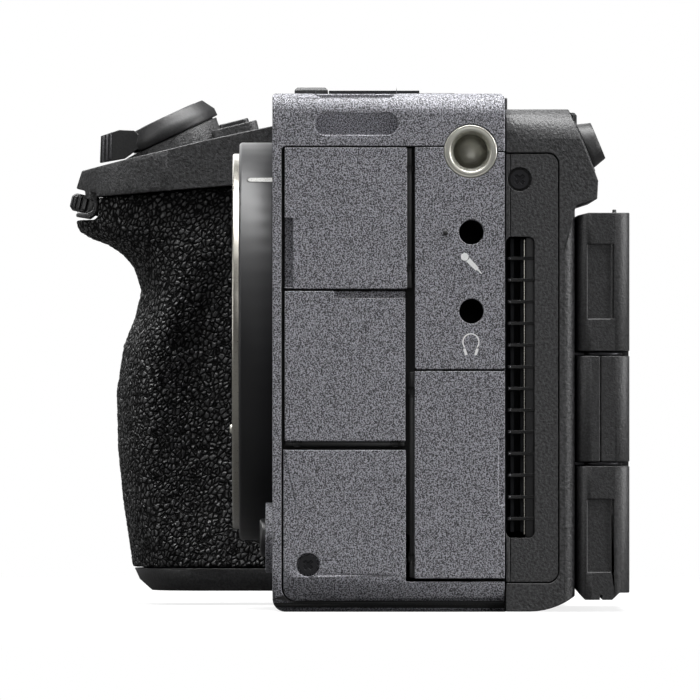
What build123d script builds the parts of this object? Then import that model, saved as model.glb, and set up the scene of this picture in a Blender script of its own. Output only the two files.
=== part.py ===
from build123d import *
import math
import os

os.makedirs("parts", exist_ok=True)

# Frame: +X is the port side, the lens looks along -Y, +Z is up, the base is at Z 0

# Driving dimensions, millimetres
half_width = 64.85
plate_front = -11.05
plate_rear = 23.85
rear_wall = 34.35
plate_height = 77.8
rear_height = 75.45
casing_joint = 50.0
grip_joint = -27.0
wall = 2.0

# Lens mount
lens_x = 20.5
lens_z = 40.6
flange_y = -17.2
throat_radius = 24.0
ring_radius = 28.5
barrel_radius = 30.2

# Port side
panel_floor = 62.95
door_thickness = 1.6
door_inner = half_width - door_thickness
door_axis_x = 64.3
door_axis_gap = 0.45
door_bar_radius = 0.35
door_pin_radius = 0.25
door_lug_bore = 0.29
left_doors = (-9.2, 9.1)
right_column = (10.35, 23.8)
jack_door_z = (48.45, 69.7)
video_door_z = (25.65, 48.15)
data_door_z = (5.0, 36.15)
jack_places = [(18.8, 56.97), (18.8, 45.12)]
jack_bore = 1.8
jack_nose = 4.0
insert_place = (18.69, 69.1)

# Threaded inserts, quarter inch 20 thread at its minor diameter
insert_radius = 4.0
insert_bore = 2.55
insert_depth = 6.5
insert_length = 8.0
insert_gap = 0.03
top_inserts = [(41.0, -4.0), (41.0, 16.5), (-14.0, -4.0)]

# Monitor and its hinge
monitor_y = (34.65, 42.55)
monitor_x = (-15.0, 64.4)
monitor_z = (1.8, 59.9)
swing_axis = (61.4, 38.6)
block_z = (22.55, 38.4)
shaft_z = 30.5

# Grip
chamber_x = (-61.1, -37.0)
chamber_y = (-21.8, 17.5)
chamber_wall = 1.0
dial_tilt = -12.8
lever_tilt = 25.0
lever_centre = (-46.0, -26.3, 72.57)
front_dial_centre = (-46.0, -36.2, 60.9)
rear_dial_centre = (-46.0, 27.4, 72.6)

# Buttons and screws
button_gap = 0.15
flange_extra = 0.5
pilot_radius = 0.85
shank_radius = 0.78


def block(x, y, z, mode=Mode.ADD):
    """Add or cut the box between two X, two Y and two Z values."""
    middle = ((x[0] + x[1]) / 2, (y[0] + y[1]) / 2, (z[0] + z[1]) / 2)
    with Locations(middle):
        Box(x[1] - x[0], y[1] - y[0], z[1] - z[0], mode=mode)


def rod(start, direction, radius, length, mode=Mode.ADD):
    """Add or cut a cylinder that starts at a point and runs along a direction."""
    with Locations(Plane(origin=start, z_dir=direction).location):
        Cylinder(radius, length, align=(Align.CENTER, Align.CENTER, Align.MIN), mode=mode)


def prism(plane, points, depth, mode=Mode.ADD):
    """Extrude a polygon of plane points by a depth along the plane's normal."""
    with BuildSketch(plane) as outline:
        with BuildLine():
            Polyline(*points, close=True)
        make_face()
    extrude(outline.sketch, amount=depth, mode=mode)


def slot_prism(plane, size, depth, radius, centre=(0, 0), mode=Mode.ADD):
    """Extrude a round-cornered rectangle by a depth along the plane's normal."""
    with BuildSketch(plane) as outline:
        with Locations(centre):
            RectangleRounded(size[0], size[1], radius)
    extrude(outline.sketch, amount=depth, mode=mode)


def rounded_prism(plane, corners, radii, depth, mode=Mode.ADD):
    """Extrude a polygon whose corners are rounded, each by its own radius."""
    with BuildSketch(plane) as outline:
        with BuildLine():
            FilletPolyline(*corners, radius=radii, close=True)
        make_face()
    extrude(outline.sketch, amount=depth, mode=mode)


def side_plane(x):
    """A plane at one X whose axes are Y and Z and whose normal is +X."""
    return Plane(origin=(x, 0, 0), x_dir=(0, 1, 0), z_dir=(1, 0, 0))


def rear_plane(y):
    """A plane at one Y whose axes are -X and Z and whose normal is +Y."""
    return Plane(origin=(0, y, 0), x_dir=(-1, 0, 0), z_dir=(0, 1, 0))


def front_plane(y):
    """A plane at one Y whose axes are X and Z and whose normal is -Y."""
    return Plane(origin=(0, y, 0), x_dir=(1, 0, 0), z_dir=(0, -1, 0))


# Side casing, the painted metal plate with the strap slot and the panel recess
shoulder_radius = 3.0
roll_start = 6.4
roll_foot = 62.4
recess_front = -9.65
recess_bottom = 1.6
recess_top = 69.85
late_recess_top = 69.05
floor_inner = 60.35
pocket_floor = 61.75
pocket_gap = 0.4
strap_y = (-4.7, 7.75)
strap_z = (71.55, 74.85)
strap_depth = 58.6
strap_bar_top = 77.15
door_lug_y = [-7.4, 7.4]
jack_lug_z = [51.5, 66.5]
data_lug_z = [8.0, 33.0]
lug_half = 0.5
lug_top = 64.5
plug_inset = 2.1
data_size = (3.2, 9.0)
video_size = (5.8, 15.2)
data_places = [(-3.6, 59.1), (3.6, 59.1), (17.1, 20.6)]
video_place = (0.0, 36.9)
side_screws = [(-5.7, 7.05)]
side_screw_seat = 64.05

with BuildPart() as side_casing:
    with BuildSketch(front_plane(plate_front)) as side_outline:
        with BuildLine():
            l1 = Line((casing_joint, 0), (roll_foot, 0))
            l2 = TangentArc((half_width, roll_start), (roll_foot, 0), tangent=(0, -1))
            l3 = Line((half_width, roll_start), (half_width, plate_height - shoulder_radius))
            l4 = RadiusArc(l3 @ 1, (half_width - shoulder_radius, plate_height), -shoulder_radius)
            l5 = Polyline(l4 @ 1, (casing_joint, plate_height), (casing_joint, 0))
        make_face()
    extrude(amount=-(plate_rear - plate_front))
    with BuildSketch(side_plane(casing_joint - 1)) as side_corners:
        with BuildLine():
            FilletPolyline(
                (plate_front, 0), (plate_rear, 0), (plate_rear, plate_height), (plate_front, plate_height),
                radius=[2.0, 0.05, 1.0, 0.5], close=True)
        make_face()
    extrude(amount=half_width - casing_joint + 2, mode=Mode.INTERSECT)
    block((casing_joint - 1, floor_inner), (plate_front + 1.8, plate_rear + 1), (1.9, 68.2), Mode.SUBTRACT)
    block((casing_joint - 1, 54.0), (plate_front + 1.8, plate_rear + 1), (68, 75.6), Mode.SUBTRACT)
    rounded_prism(side_plane(panel_floor), [
        (recess_front, recess_bottom), (insert_place[0], recess_bottom), (insert_place[0], recess_top),
        (recess_front, recess_top)], [2.1, 0.05, 0.05, 0.6], 4, Mode.SUBTRACT)
    block((panel_floor, 66), (insert_place[0] - 1, plate_rear + 1), (recess_bottom, late_recess_top),
          Mode.SUBTRACT)
    # The webbing slot goes in at the side and out at the top, round a bar
    slot_prism(side_plane(strap_depth), (strap_y[1] - strap_y[0], strap_z[1] - strap_z[0]), 8, 1.64,
               ((strap_y[0] + strap_y[1]) / 2, (strap_z[0] + strap_z[1]) / 2), Mode.SUBTRACT)
    block((57.0, 60.3), strap_y, (strap_z[0], plate_height + 1), Mode.SUBTRACT)
    prism(side_plane(57.0), [(strap_y[0] - 0.5, plate_height + 0.1), (strap_y[0] + 0.9, strap_bar_top),
                             (strap_y[1] - 1.1, strap_bar_top), (strap_y[1] + 0.1, plate_height + 0.1)],
          9, Mode.SUBTRACT)
    rod((54.5, insert_place[0], insert_place[1]), (1, 0, 0), insert_radius + insert_gap, 12, Mode.SUBTRACT)
    # Shallow pockets behind the doors, with a hole for each socket
    rim_room = plug_inset - pocket_gap
    for y, z in ((left_doors, jack_door_z), (left_doors, video_door_z), (right_column, data_door_z)):
        block((pocket_floor, 64), (y[0] + rim_room, y[1] - rim_room), (z[0] + rim_room, z[1] - rim_room),
              Mode.SUBTRACT)
    socket_cut = side_plane(floor_inner - 1)
    for place in data_places:
        slot_prism(socket_cut, (data_size[0] + 0.2, data_size[1] + 0.2), 4, 1.6, place, Mode.SUBTRACT)
    slot_prism(socket_cut, (video_size[0] + 0.2, video_size[1] + 0.2), 4, 0.6, video_place, Mode.SUBTRACT)
    for place in jack_places:
        rod((floor_inner - 1, place[0], place[1]), (1, 0, 0), jack_nose + 0.05, 4, Mode.SUBTRACT)
    # Snap lugs that hold the pins of the three doors
    jack_axis_y = left_doors[1] + door_axis_gap
    data_axis_y = right_column[0] - door_axis_gap
    video_axis_z = video_door_z[0] - door_axis_gap
    for z in jack_lug_z:
        block((panel_floor, lug_top), (jack_axis_y - 0.35, jack_axis_y + 0.5), (z - lug_half, z + lug_half))
    for z in data_lug_z:
        block((panel_floor, lug_top), (data_axis_y - 0.5, data_axis_y + 0.35), (z - lug_half, z + lug_half))
    for y in door_lug_y:
        block((panel_floor, lug_top), (y - lug_half, y + lug_half), (video_axis_z - 0.5, video_axis_z + 0.35))
    rod((door_axis_x, jack_axis_y, 49), (0, 0, 1), door_lug_bore, 20, Mode.SUBTRACT)
    rod((door_axis_x, data_axis_y, 6), (0, 0, 1), door_lug_bore, 29, Mode.SUBTRACT)
    rod((door_axis_x, left_doors[0] + 0.2, video_axis_z), (0, 1, 0), door_lug_bore, 18, Mode.SUBTRACT)
    for place in side_screws:
        rod((floor_inner - 1, place[0], place[1]), (1, 0, 0), pilot_radius, 4, Mode.SUBTRACT)
side_casing.part.label = "side_casing"
export_step(side_casing.part, "parts/side_casing.step")

# Jack panel, the fixed cover round the microphone and headphone holes
with BuildPart() as jack_panel:
    block((panel_floor, half_width), right_column, (36.4, 68.95))
    block((panel_floor, half_width), (right_column[0], insert_place[0]), (68.9, 69.75))
    rod((62, insert_place[0], insert_place[1]), (1, 0, 0), insert_radius + insert_gap, 4, Mode.SUBTRACT)
    for place in jack_places:
        rod((62, place[0], place[1]), (1, 0, 0), 1.85, 4, Mode.SUBTRACT)
    bottom_edges = jack_panel.edges().filter_by(Axis.X).group_by(Axis.Z)[0]
    fillet(bottom_edges, radius=0.4)
jack_panel.part.label = "jack_panel"
export_step(jack_panel.part, "parts/jack_panel.step")

# Lower side panel, L shaped, screwed on under the doors
rim_end = 62.0
rim_wall = 0.8
notch_depth = 0.8
panel_front = -9.4
panel_top = 24.3
band_top = 4.55
with BuildPart() as lower_panel:
    with BuildSketch(front_plane(panel_front)) as panel_section:
        with BuildLine():
            l1 = TangentArc((half_width, roll_start), (roll_foot, 0), tangent=(0, -1))
            l2 = Polyline(l1 @ 1, (panel_floor - 1, 0), (panel_floor - 1, panel_top), (half_width, panel_top),
                          (half_width, roll_start))
        make_face()
    extrude(amount=-(right_column[1] - panel_front))
    rounded_prism(side_plane(panel_floor - 2), [
        (panel_front, recess_bottom + 0.08), (right_column[1], recess_bottom + 0.08),
        (right_column[1], panel_top), (panel_front, panel_top)], [1.9, 0.05, 0.05, 0.05], 5, Mode.INTERSECT)
    block((panel_floor - 3, panel_floor), (-12, 26), (-1, 30), Mode.SUBTRACT)
    block((panel_floor - 1, 66), (8.97, 26), (band_top, 30), Mode.SUBTRACT)
    for place in side_screws:
        rod((side_screw_seat, place[0], place[1]), (1, 0, 0), 1.75, 2, Mode.SUBTRACT)
        rod((62, place[0], place[1]), (1, 0, 0), pilot_radius, 4, Mode.SUBTRACT)
lower_panel.part.label = "lower_side_panel"
export_step(lower_panel.part, "parts/lower_side_panel.step")


def door_solid(y, z, hinge, lugs, notch):
    """A door slab with its inner seal rim, finger notch, hinge bar and pin, on one edge."""
    block((door_inner, half_width), y, z)
    rim_y = (y[0] + plug_inset, y[1] - plug_inset)
    rim_z = (z[0] + plug_inset, z[1] - plug_inset)
    block((rim_end, door_inner), rim_y, rim_z)
    block((rim_end - 0.1, door_inner), (rim_y[0] + rim_wall, rim_y[1] - rim_wall),
          (rim_z[0] + rim_wall, rim_z[1] - rim_wall), Mode.SUBTRACT)
    block((half_width - notch_depth, 66), notch[0], notch[1], Mode.SUBTRACT)
    along_z = hinge in ("left", "right")
    span = (z[0] + 0.15, z[1] - 0.15) if along_z else (y[0] + 0.15, y[1] - 0.15)
    axis_y = y[1] + door_axis_gap if hinge == "right" else y[0] - door_axis_gap
    axis_z = z[0] - door_axis_gap
    cuts = [span[0]] + [edge for lug in lugs for edge in (lug - 0.6, lug + 0.6)] + [span[1]]
    if along_z:
        rod((door_axis_x, axis_y, span[0]), (0, 0, 1), door_pin_radius, span[1] - span[0])
    else:
        rod((door_axis_x, span[0], axis_z), (0, 1, 0), door_pin_radius, span[1] - span[0])
    for low, high in zip(cuts[0::2], cuts[1::2]):
        if along_z:
            rod((door_axis_x, axis_y, low), (0, 0, 1), door_bar_radius, high - low)
            web = (axis_y, y[0] + 0.05) if hinge == "left" else (y[1] - 0.05, axis_y)
            block((door_axis_x - 0.3, door_axis_x + 0.3), web, (low, high))
        else:
            rod((door_axis_x, low, axis_z), (0, 1, 0), door_bar_radius, high - low)
            block((door_axis_x - 0.3, door_axis_x + 0.3), (low, high), (axis_z, z[0] + 0.05))


with BuildPart() as jack_door:
    door_solid(left_doors, jack_door_z, "right", jack_lug_z, ((-10, -8.0), (48.7, 59.1)))
jack_door.part.label = "upper_port_door"
export_step(jack_door.part, "parts/upper_port_door.step")

with BuildPart() as video_door:
    door_solid((left_doors[0], 8.9), video_door_z, "bottom", door_lug_y, ((-1.85, 10), (47.1, 49)))
video_door.part.label = "video_door"
export_step(video_door.part, "parts/video_door.step")

with BuildPart() as data_door:
    door_solid(right_column, data_door_z, "left", data_lug_z, ((22.9, 24), (16.0, 26.0)))
data_door.part.label = "lower_port_door"
export_step(data_door.part, "parts/lower_port_door.step")

# Audio jacks, two alike, each a round nose and a square body round a blind bore
with BuildPart() as audio_jacks:
    for place in jack_places:
        rod((60.3, place[0], place[1]), (1, 0, 0), jack_nose, panel_floor - 60.3)
        block((50.4, 60.3), (place[0] - jack_nose, place[0] + jack_nose),
              (place[1] - jack_nose, place[1] + jack_nose))
    for place in jack_places:
        rod((51.4, place[0], place[1]), (1, 0, 0), jack_bore, 14, Mode.SUBTRACT)
audio_jacks.part.label = "audio_jacks"
export_step(audio_jacks.part, "parts/audio_jacks.step")

# Data sockets: shells with a tongue
with BuildPart() as data_sockets:
    for place in data_places:
        slot_prism(side_plane(54.2), data_size, pocket_floor - 54.2, 1.5, place)
    for place in data_places:
        slot_prism(side_plane(55.4), (data_size[0] - 0.6, data_size[1] - 0.6), 10, 1.25, place, Mode.SUBTRACT)
    for place in data_places:
        block((54.6, 61.0), (place[0] - 0.35, place[0] + 0.35), (place[1] - 3.35, place[1] + 3.35))
data_sockets.part.label = "data_sockets"
export_step(data_sockets.part, "parts/data_sockets.step")

with BuildPart() as video_socket:
    slot_prism(side_plane(50.6), video_size, pocket_floor - 50.6, 0.5, video_place)
    slot_prism(side_plane(51.8), (video_size[0] - 0.8, video_size[1] - 0.8), 12, 0.3, video_place,
               Mode.SUBTRACT)
    block((51.0, 61.2), (-0.6, 0.9), (video_place[1] - 5.6, video_place[1] + 5.6))
video_socket.part.label = "video_socket"
export_step(video_socket.part, "parts/video_socket.step")

# Front casing: front wall with the lens hole, and the low side walls round the inside
casing_right = -36.0
tripod_place = (lens_x, 2.0)
front_hole = 27.7
casing_top = 69.5
release_place = (44.0, 11.0)
boss_radius = 5.3
release_radius = 2.9
with BuildPart() as front_casing:
    block((casing_right, casing_joint), (plate_front, plate_front + wall), (0.2, casing_top))
    block((casing_right, casing_joint), (plate_front, plate_rear), (2.0, 3.4))
    block((casing_right, casing_right + 1.5), (plate_front, plate_rear), (2.0, casing_top))
    rod((lens_x, plate_front - 1, lens_z), (0, 1, 0), front_hole, 4, Mode.SUBTRACT)
    fillet(front_casing.edges().filter_by(Axis.X).group_by(Axis.Z)[0].sort_by(Axis.Y)[0], radius=1.6)
    rod((release_place[0], plate_front - 1.1, release_place[1]), (0, 1, 0), boss_radius, 1.2)
    rod((release_place[0], plate_front - 2, release_place[1]), (0, 1, 0), release_radius + button_gap, 5,
        Mode.SUBTRACT)
    rod((tripod_place[0], tripod_place[1], 1), (0, 0, 1), 5.05, 4, Mode.SUBTRACT)
front_casing.part.label = "front_casing"
export_step(front_casing.part, "parts/front_casing.step")

# Mount barrel: the black ring housing with a spigot in the front casing
barrel_front = flange_y + 1.0
lock_place = (43.2, 27.4)
lock_radius = 0.7
with BuildPart() as mount_barrel:
    rod((lens_x, barrel_front, lens_z), (0, 1, 0), barrel_radius, plate_front - barrel_front)
    chamfer(mount_barrel.edges().filter_by(GeomType.CIRCLE).sort_by(Axis.Y)[0], length=0.3)
    rod((lens_x, plate_front, lens_z), (0, 1, 0), 27.6, 3.7)
    rod((lens_x, barrel_front - 1, lens_z), (0, 1, 0), 25.5, 14, Mode.SUBTRACT)
    rod((lens_x, barrel_front - 1, lens_z), (0, 1, 0), ring_radius + 0.02, 2.8, Mode.SUBTRACT)
    rod((lock_place[0], barrel_front - 1, lock_place[1]), (0, 1, 0), lock_radius + 0.05, 10, Mode.SUBTRACT)
mount_barrel.part.label = "mount_barrel"
export_step(mount_barrel.part, "parts/mount_barrel.step")

# Bayonet ring: bright steel flange with three locking tabs behind the throat
ring_thickness = 2.8
tab_inner = 22.9
tab_gap_starts = (20, 140, 260)
tab_gap_angle = 28
screw_circle = 26.4
with BuildPart() as mount_ring:
    rod((lens_x, flange_y, lens_z), (0, 1, 0), ring_radius, ring_thickness)
    rod((lens_x, flange_y - 1, lens_z), (0, 1, 0), throat_radius, ring_thickness + 2, Mode.SUBTRACT)
    with BuildSketch(front_plane(flange_y + 1.6)) as tab_sketch:
        with Locations((lens_x, lens_z)):
            Circle(throat_radius + 0.3)
            Circle(tab_inner, mode=Mode.SUBTRACT)
        for start in tab_gap_starts:
            rays = [math.radians(start + turn) for turn in (0, tab_gap_angle)]
            corners = [(lens_x + barrel_radius * math.cos(ray), lens_z + barrel_radius * math.sin(ray))
                       for ray in rays]
            with BuildLine():
                Polyline((lens_x, lens_z), *corners, close=True)
            make_face(mode=Mode.SUBTRACT)
    extrude(amount=-1.2)
    with Locations(Plane(origin=(lens_x, flange_y, lens_z), z_dir=(0, -1, 0)).location):
        with PolarLocations(screw_circle, 4, 45):
            CounterBoreHole(radius=0.8, counter_bore_radius=1.5, counter_bore_depth=0.9, depth=4)
    rod((lock_place[0], flange_y - 1, lock_place[1]), (0, 1, 0), lock_radius + 0.05, 5, Mode.SUBTRACT)
mount_ring.part.label = "mount_ring"
export_step(mount_ring.part, "parts/mount_ring.step")

# Lens contacts: a curved black block with ten gold pins low in the throat
with BuildPart() as contact_block:
    with BuildSketch(front_plane(-13.4)) as contact_outline:
        with BuildLine():
            low = CenterArc((lens_x, lens_z), 25.4, 248, 44)
            high = CenterArc((lens_x, lens_z), 21.2, 248, 44)
            Line(low @ 0, high @ 0)
            Line(low @ 1, high @ 1)
        make_face()
    extrude(amount=-4.6)
    for index in range(10):
        angle = math.radians(252.5 + index * 3.9)
        rod((lens_x + 22.6 * math.cos(angle), -14.1, lens_z + 22.6 * math.sin(angle)), (0, 1, 0), 0.45, 1.2)
contact_block.part.label = "lens_contacts"
export_step(contact_block.part, "parts/lens_contacts.step")

# Lens release: a round button in its boss, and the lock pin that it draws back
release_reach = 1.95
with BuildPart() as release_button:
    rod((release_place[0], plate_front - release_reach, release_place[1]), (0, 1, 0), release_radius, 4.5)
    fillet(release_button.edges().filter_by(GeomType.CIRCLE).sort_by(Axis.Y)[0], radius=0.5)
    rod((release_place[0], plate_front + wall, release_place[1]), (0, 1, 0), release_radius + flange_extra,
        0.6)
release_button.part.label = "lens_release_button"
export_step(release_button.part, "parts/lens_release_button.step")

with BuildPart() as lock_pin:
    rod((lock_place[0], flange_y - 0.35, lock_place[1]), (0, 1, 0), lock_radius, 8.5)
    fillet(lock_pin.edges().filter_by(GeomType.CIRCLE).sort_by(Axis.Y)[0], radius=0.3)
lock_pin.part.label = "lens_lock_pin"
export_step(lock_pin.part, "parts/lens_lock_pin.step")

# Top cover: a deck plate on each side of the shoe and a small one in front of it, with bosses for the inserts
deck_seam = 0.04
shoe_x = (10.4, 30.6)
shoe_y = (-2.6, 16.4)
shoe_floor = 75.5
shoe_bracket = 74.3
deck_underside = 75.7
with BuildPart() as top_cover:
    block((grip_joint, casing_joint), (plate_front, plate_rear), (70.0, 77.5))
    fillet(top_cover.edges().filter_by(Axis.X).group_by(Axis.Z)[-1].sort_by(Axis.Y)[0], radius=0.8)
    block((grip_joint + 1.8, casing_joint + 1), (plate_front + 1.8, plate_rear + 1), (69, deck_underside),
          Mode.SUBTRACT)
    for place in top_inserts:
        rod((place[0], place[1], 70.0), (0, 0, 1), 5.2, 7.0)
    # The notch for the shoe goes on to the rear edge, where an accessory's foot slides in
    block((shoe_x[0] - 0.02, shoe_x[1] + 0.02), (shoe_y[0] - 0.02, plate_rear + 1), (69, 79), Mode.SUBTRACT)
    for seam_x in (shoe_x[0] - 0.02 - deck_seam, shoe_x[1] + 0.02):
        block((seam_x, seam_x + deck_seam), (plate_front - 1, plate_rear + 1), (69, 79), Mode.SUBTRACT)
    for place in top_inserts:
        rod((place[0], place[1], 69.4), (0, 0, 1), insert_radius + insert_gap, 10, Mode.SUBTRACT)
top_cover.part.label = "top_cover"
export_step(top_cover.part, "parts/top_cover.step")

# Tally lamp: a small black lamp housing on the top, in front of the shoe
with BuildPart() as tally_lamp:
    block((13.5, 27.5), (-7.8, -2.75), (77.5, 79.1))
    chamfer(tally_lamp.edges().group_by(Axis.Z)[-1], length=0.4)
tally_lamp.part.label = "tally_lamp"
export_step(tally_lamp.part, "parts/tally_lamp.step")

# Accessory shoe: folded steel rails on a bracket screwed under the deck, with contact strip and spring leaves
rail_lip = 3.75
lip_under = 77.55
lip_top = 78.6
leaf_start = 11.1
with BuildPart() as accessory_shoe:
    block((shoe_x[0] - 1.5, shoe_x[1] + 1.5), (shoe_y[0] - 1.5, plate_rear),
          (shoe_bracket, deck_underside - 0.02))
    block(shoe_x, (shoe_y[0], plate_rear + 1), (shoe_floor, 79), Mode.SUBTRACT)
    for side in (0, 1):
        edge = shoe_x[side]
        inward = 1 if side == 0 else -1
        outer = sorted((edge, edge + 0.8 * inward))
        lip = sorted((edge, edge + rail_lip * inward))
        block(outer, shoe_y, (shoe_floor - 0.2, lip_top))
        block(lip, (shoe_y[0], leaf_start), (lip_under, lip_top))
        block(lip, (leaf_start, shoe_y[1]), (lip_under, lip_top - 0.4))
        block(outer, (leaf_start, shoe_y[1] + 1), (lip_top - 0.4, 79), Mode.SUBTRACT)
    block((shoe_x[0] + 4.5, shoe_x[1] - 4.5), (-1.9, -0.2), (shoe_floor, shoe_floor + 1.2))
    block((shoe_x[0] + 6.5, shoe_x[1] - 6.5), (3.0, 14.0), (shoe_floor, shoe_floor + 0.3))
accessory_shoe.part.label = "accessory_shoe"
export_step(accessory_shoe.part, "parts/accessory_shoe.step")


# Threaded inserts: turned steel sleeves, one in the side and three in the top
def insert_solid(mouth, outward):
    """A turned sleeve with a blind threaded bore, a cone at its end and a lead-in chamfer."""
    direction = Vector(*outward)
    base = Vector(*mouth) - direction * insert_length
    bore_start = Vector(*mouth) - direction * insert_depth
    rod(base, direction, insert_radius, insert_length)
    rod(bore_start, direction, insert_bore, insert_depth + 1, Mode.SUBTRACT)
    with Locations(Plane(origin=bore_start, z_dir=-direction).location):
        Cone(insert_bore, 0.3, 1.1, align=(Align.CENTER, Align.CENTER, Align.MIN), mode=Mode.SUBTRACT)
    with Locations(Plane(origin=Vector(*mouth) - direction * 0.5, z_dir=direction).location):
        Cone(insert_bore, 3.1, 0.5, align=(Align.CENTER, Align.CENTER, Align.MIN), mode=Mode.SUBTRACT)


with BuildPart() as thread_inserts:
    insert_solid((half_width, insert_place[0], insert_place[1]), (1, 0, 0))
    for place in top_inserts:
        insert_solid((place[0], place[1], 77.5), (0, 0, 1))
thread_inserts.part.label = "thread_inserts"
export_step(thread_inserts.part, "parts/thread_inserts.step")

# Bottom plate with the tripod bush on the lens axis
base_screws = [(x, y) for x in (-30, 8, 44) for y in (-6, 20.5)]
base_screw_seat = 0.9
with BuildPart() as bottom_plate:
    block((casing_right, casing_joint), (-9.0, plate_rear), (0, 2.0))
    rod((tripod_place[0], tripod_place[1], -1), (0, 0, 1), 6.53, 5, Mode.SUBTRACT)
    for x, y in base_screws:
        rod((x, y, -1), (0, 0, 1), pilot_radius, 5, Mode.SUBTRACT)
        rod((x, y, -1), (0, 0, 1), 1.8, 1 + base_screw_seat, Mode.SUBTRACT)
bottom_plate.part.label = "bottom_plate"
export_step(bottom_plate.part, "parts/bottom_plate.step")

with BuildPart() as tripod_insert:
    rod((tripod_place[0], tripod_place[1], 0), (0, 0, 1), 6.5, 1.95)
    rod((tripod_place[0], tripod_place[1], 1.9), (0, 0, 1), 5.0, 3.9)
    rod((tripod_place[0], tripod_place[1], -1), (0, 0, 1), insert_bore, 6.3, Mode.SUBTRACT)
tripod_insert.part.label = "tripod_insert"
export_step(tripod_insert.part, "parts/tripod_insert.step")

# Rear casing: black shell with the sloped control hump above the monitor
slope_tilt = math.radians(22.9)
slope_top = (33.4, rear_height)


def on_slope(x, z):
    """The point of the control slope at one X and one Z."""
    return (x, slope_top[0] + (slope_top[1] - z) * math.tan(slope_tilt), z)


hump_points = [slope_top, on_slope(0, 66.22)[1:], (37.85, 64.7), (37.7, 61.95), (34.5, 60.9)]
rear_right = -62.4
rear_left = 64.35
right_front = 18.8
vent_y = (24.0, 32.0)
vent_z = (4.3, 68.9)
vent_floor = 62.9
vent_screw = (26.05, 64.9)
vent_screw_seat = 63.4
vent_window_y = (24.0, 28.3)
vent_window_z = (11.1, 56.3)
slope_normal = (0, math.cos(slope_tilt), math.sin(slope_tilt))
power_place = on_slope(47.0, 69.92)
power_ring_radius = 4.15
power_ring_height = 0.3
power_hub_radius = 2.5
power_hub_height = 0.75
menu_place = on_slope(31.0, 70.1)
seam_width = 0.15
roll_radius = 4.5
vent_gap = 0.2
rear_buttons = {"function_button": (-41.0, 53.0, 2.1), "playback_button": (-25.5, 12.5, 2.1)}
stick_place = (-26.0, 52.5)
stick_ball = 30.6
card_knuckle = 0.8
card_axis = (rear_right + card_knuckle, 31.0)
wheel_place = (-38.0, 31.0)
with BuildPart() as rear_casing:
    with BuildSketch(side_plane(rear_right)) as rear_profile:
        with BuildLine():
            l1 = Polyline((plate_rear, 0.05), (plate_rear, rear_height), *hump_points, (rear_wall, 60.3),
                          (rear_wall, 2.4))
            l2 = ThreePointArc((rear_wall, 2.4), (31.9, 0.95), (27.6, 0.05))
            l3 = Line(l2 @ 1, (plate_rear, 0.05))
        make_face()
    extrude(amount=rear_left - rear_right)
    fillet(rear_casing.edges().filter_by(Axis.Z).filter_by_position(Axis.Y, rear_wall - 0.1, rear_wall + 0.1),
           radius=1.6)
    block((rear_right, -36.3), (right_front, plate_rear + 0.1), (0.05, 69.5))
    # The inside is hollow behind a two millimetre wall
    prism(side_plane(-36.2), [(plate_rear - 0.1, 2.0), (plate_rear - 0.1, 73.4), (32.6, 73.4), (35.6, 66.2),
                              (35.9, 63.2), (rear_wall - wall, 62.6), (rear_wall - wall, 3.4), (28, 2.0)],
          rear_left - wall + 36.2, Mode.SUBTRACT)
    block((rear_right + 1.8, -36.1), (right_front - 1, rear_wall - wall), (2.0, 68.0), Mode.SUBTRACT)
    # The top edge over the vent is rolled
    with BuildSketch(front_plane(plate_rear - 0.1)) as roll:
        with Locations((rear_left - roll_radius, rear_height - roll_radius)):
            Rectangle(roll_radius + 1, roll_radius + 1, align=(Align.MIN, Align.MIN))
            Circle(roll_radius, mode=Mode.SUBTRACT)
    extrude(roll.sketch, amount=-16, mode=Mode.SUBTRACT)
    # Seam beside the side plate, and a lip where the top deck ends
    block((rear_left - 1.8, 66), (plate_rear - 0.1, plate_rear + seam_width), (-1, 76), Mode.SUBTRACT)
    block((34.0, 49.0), (plate_rear, plate_rear + 0.45), (rear_height - 0.5, 77.3))
    # Seat and window of the vent
    rounded_prism(side_plane(vent_floor), [
        (vent_y[0] - 0.3, vent_z[0]), (vent_y[1], vent_z[0]), (vent_y[1], vent_z[1]),
        (vent_y[0] - 0.3, vent_z[1])], [0.05, 1.8, 1.8, 0.05], 4, Mode.SUBTRACT)
    block((60, 66), vent_window_y, vent_window_z, Mode.SUBTRACT)
    rod((60, vent_screw[0], vent_screw[1]), (1, 0, 0), pilot_radius, 4, Mode.SUBTRACT)
    # Slits for the hinge fork
    for low in (block_z[0] - 0.55, block_z[1] + 0.05):
        block((57.9, 62.4), (31, 36), (low, low + 0.5), Mode.SUBTRACT)
    # Ring and hub under the sloped switch, then the holes of the switch and the button beside it
    normal = Vector(*slope_normal)
    rod(Vector(*power_place) - normal * 0.3, normal, power_ring_radius, 0.3 + power_ring_height)
    rod(Vector(*power_place) - normal * 0.3, normal, power_hub_radius, 0.3 + power_hub_height)
    for place, radius in ((power_place, 1.3), (menu_place, 2.35)):
        rod(Vector(*place) - normal * 3.2, normal, radius, 5, Mode.SUBTRACT)
    # Holes for the buttons, stick and wheel on the rear wall
    for place in rear_buttons.values():
        rod((place[0], 31, place[1]), (0, 1, 0), place[2] + button_gap, 5, Mode.SUBTRACT)
    rod((stick_place[0], 31, stick_place[1]), (0, 1, 0), 3.6, 5, Mode.SUBTRACT)
    rod((wheel_place[0], 33.2, wheel_place[1]), (0, 1, 0), 9.8, 2, Mode.SUBTRACT)
    rod((wheel_place[0], 31, wheel_place[1]), (0, 1, 0), 3.3, 5, Mode.SUBTRACT)
    # Well of the rear dial, open to the top and to the back
    rod((rear_dial_centre[0], rear_dial_centre[1], 72.4), (0, 0, 1), 8.6, 6, Mode.SUBTRACT)
    rod((rear_dial_centre[0], rear_dial_centre[1], 69.0), (0, 0, 1), 1.55, 4, Mode.SUBTRACT)
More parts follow.
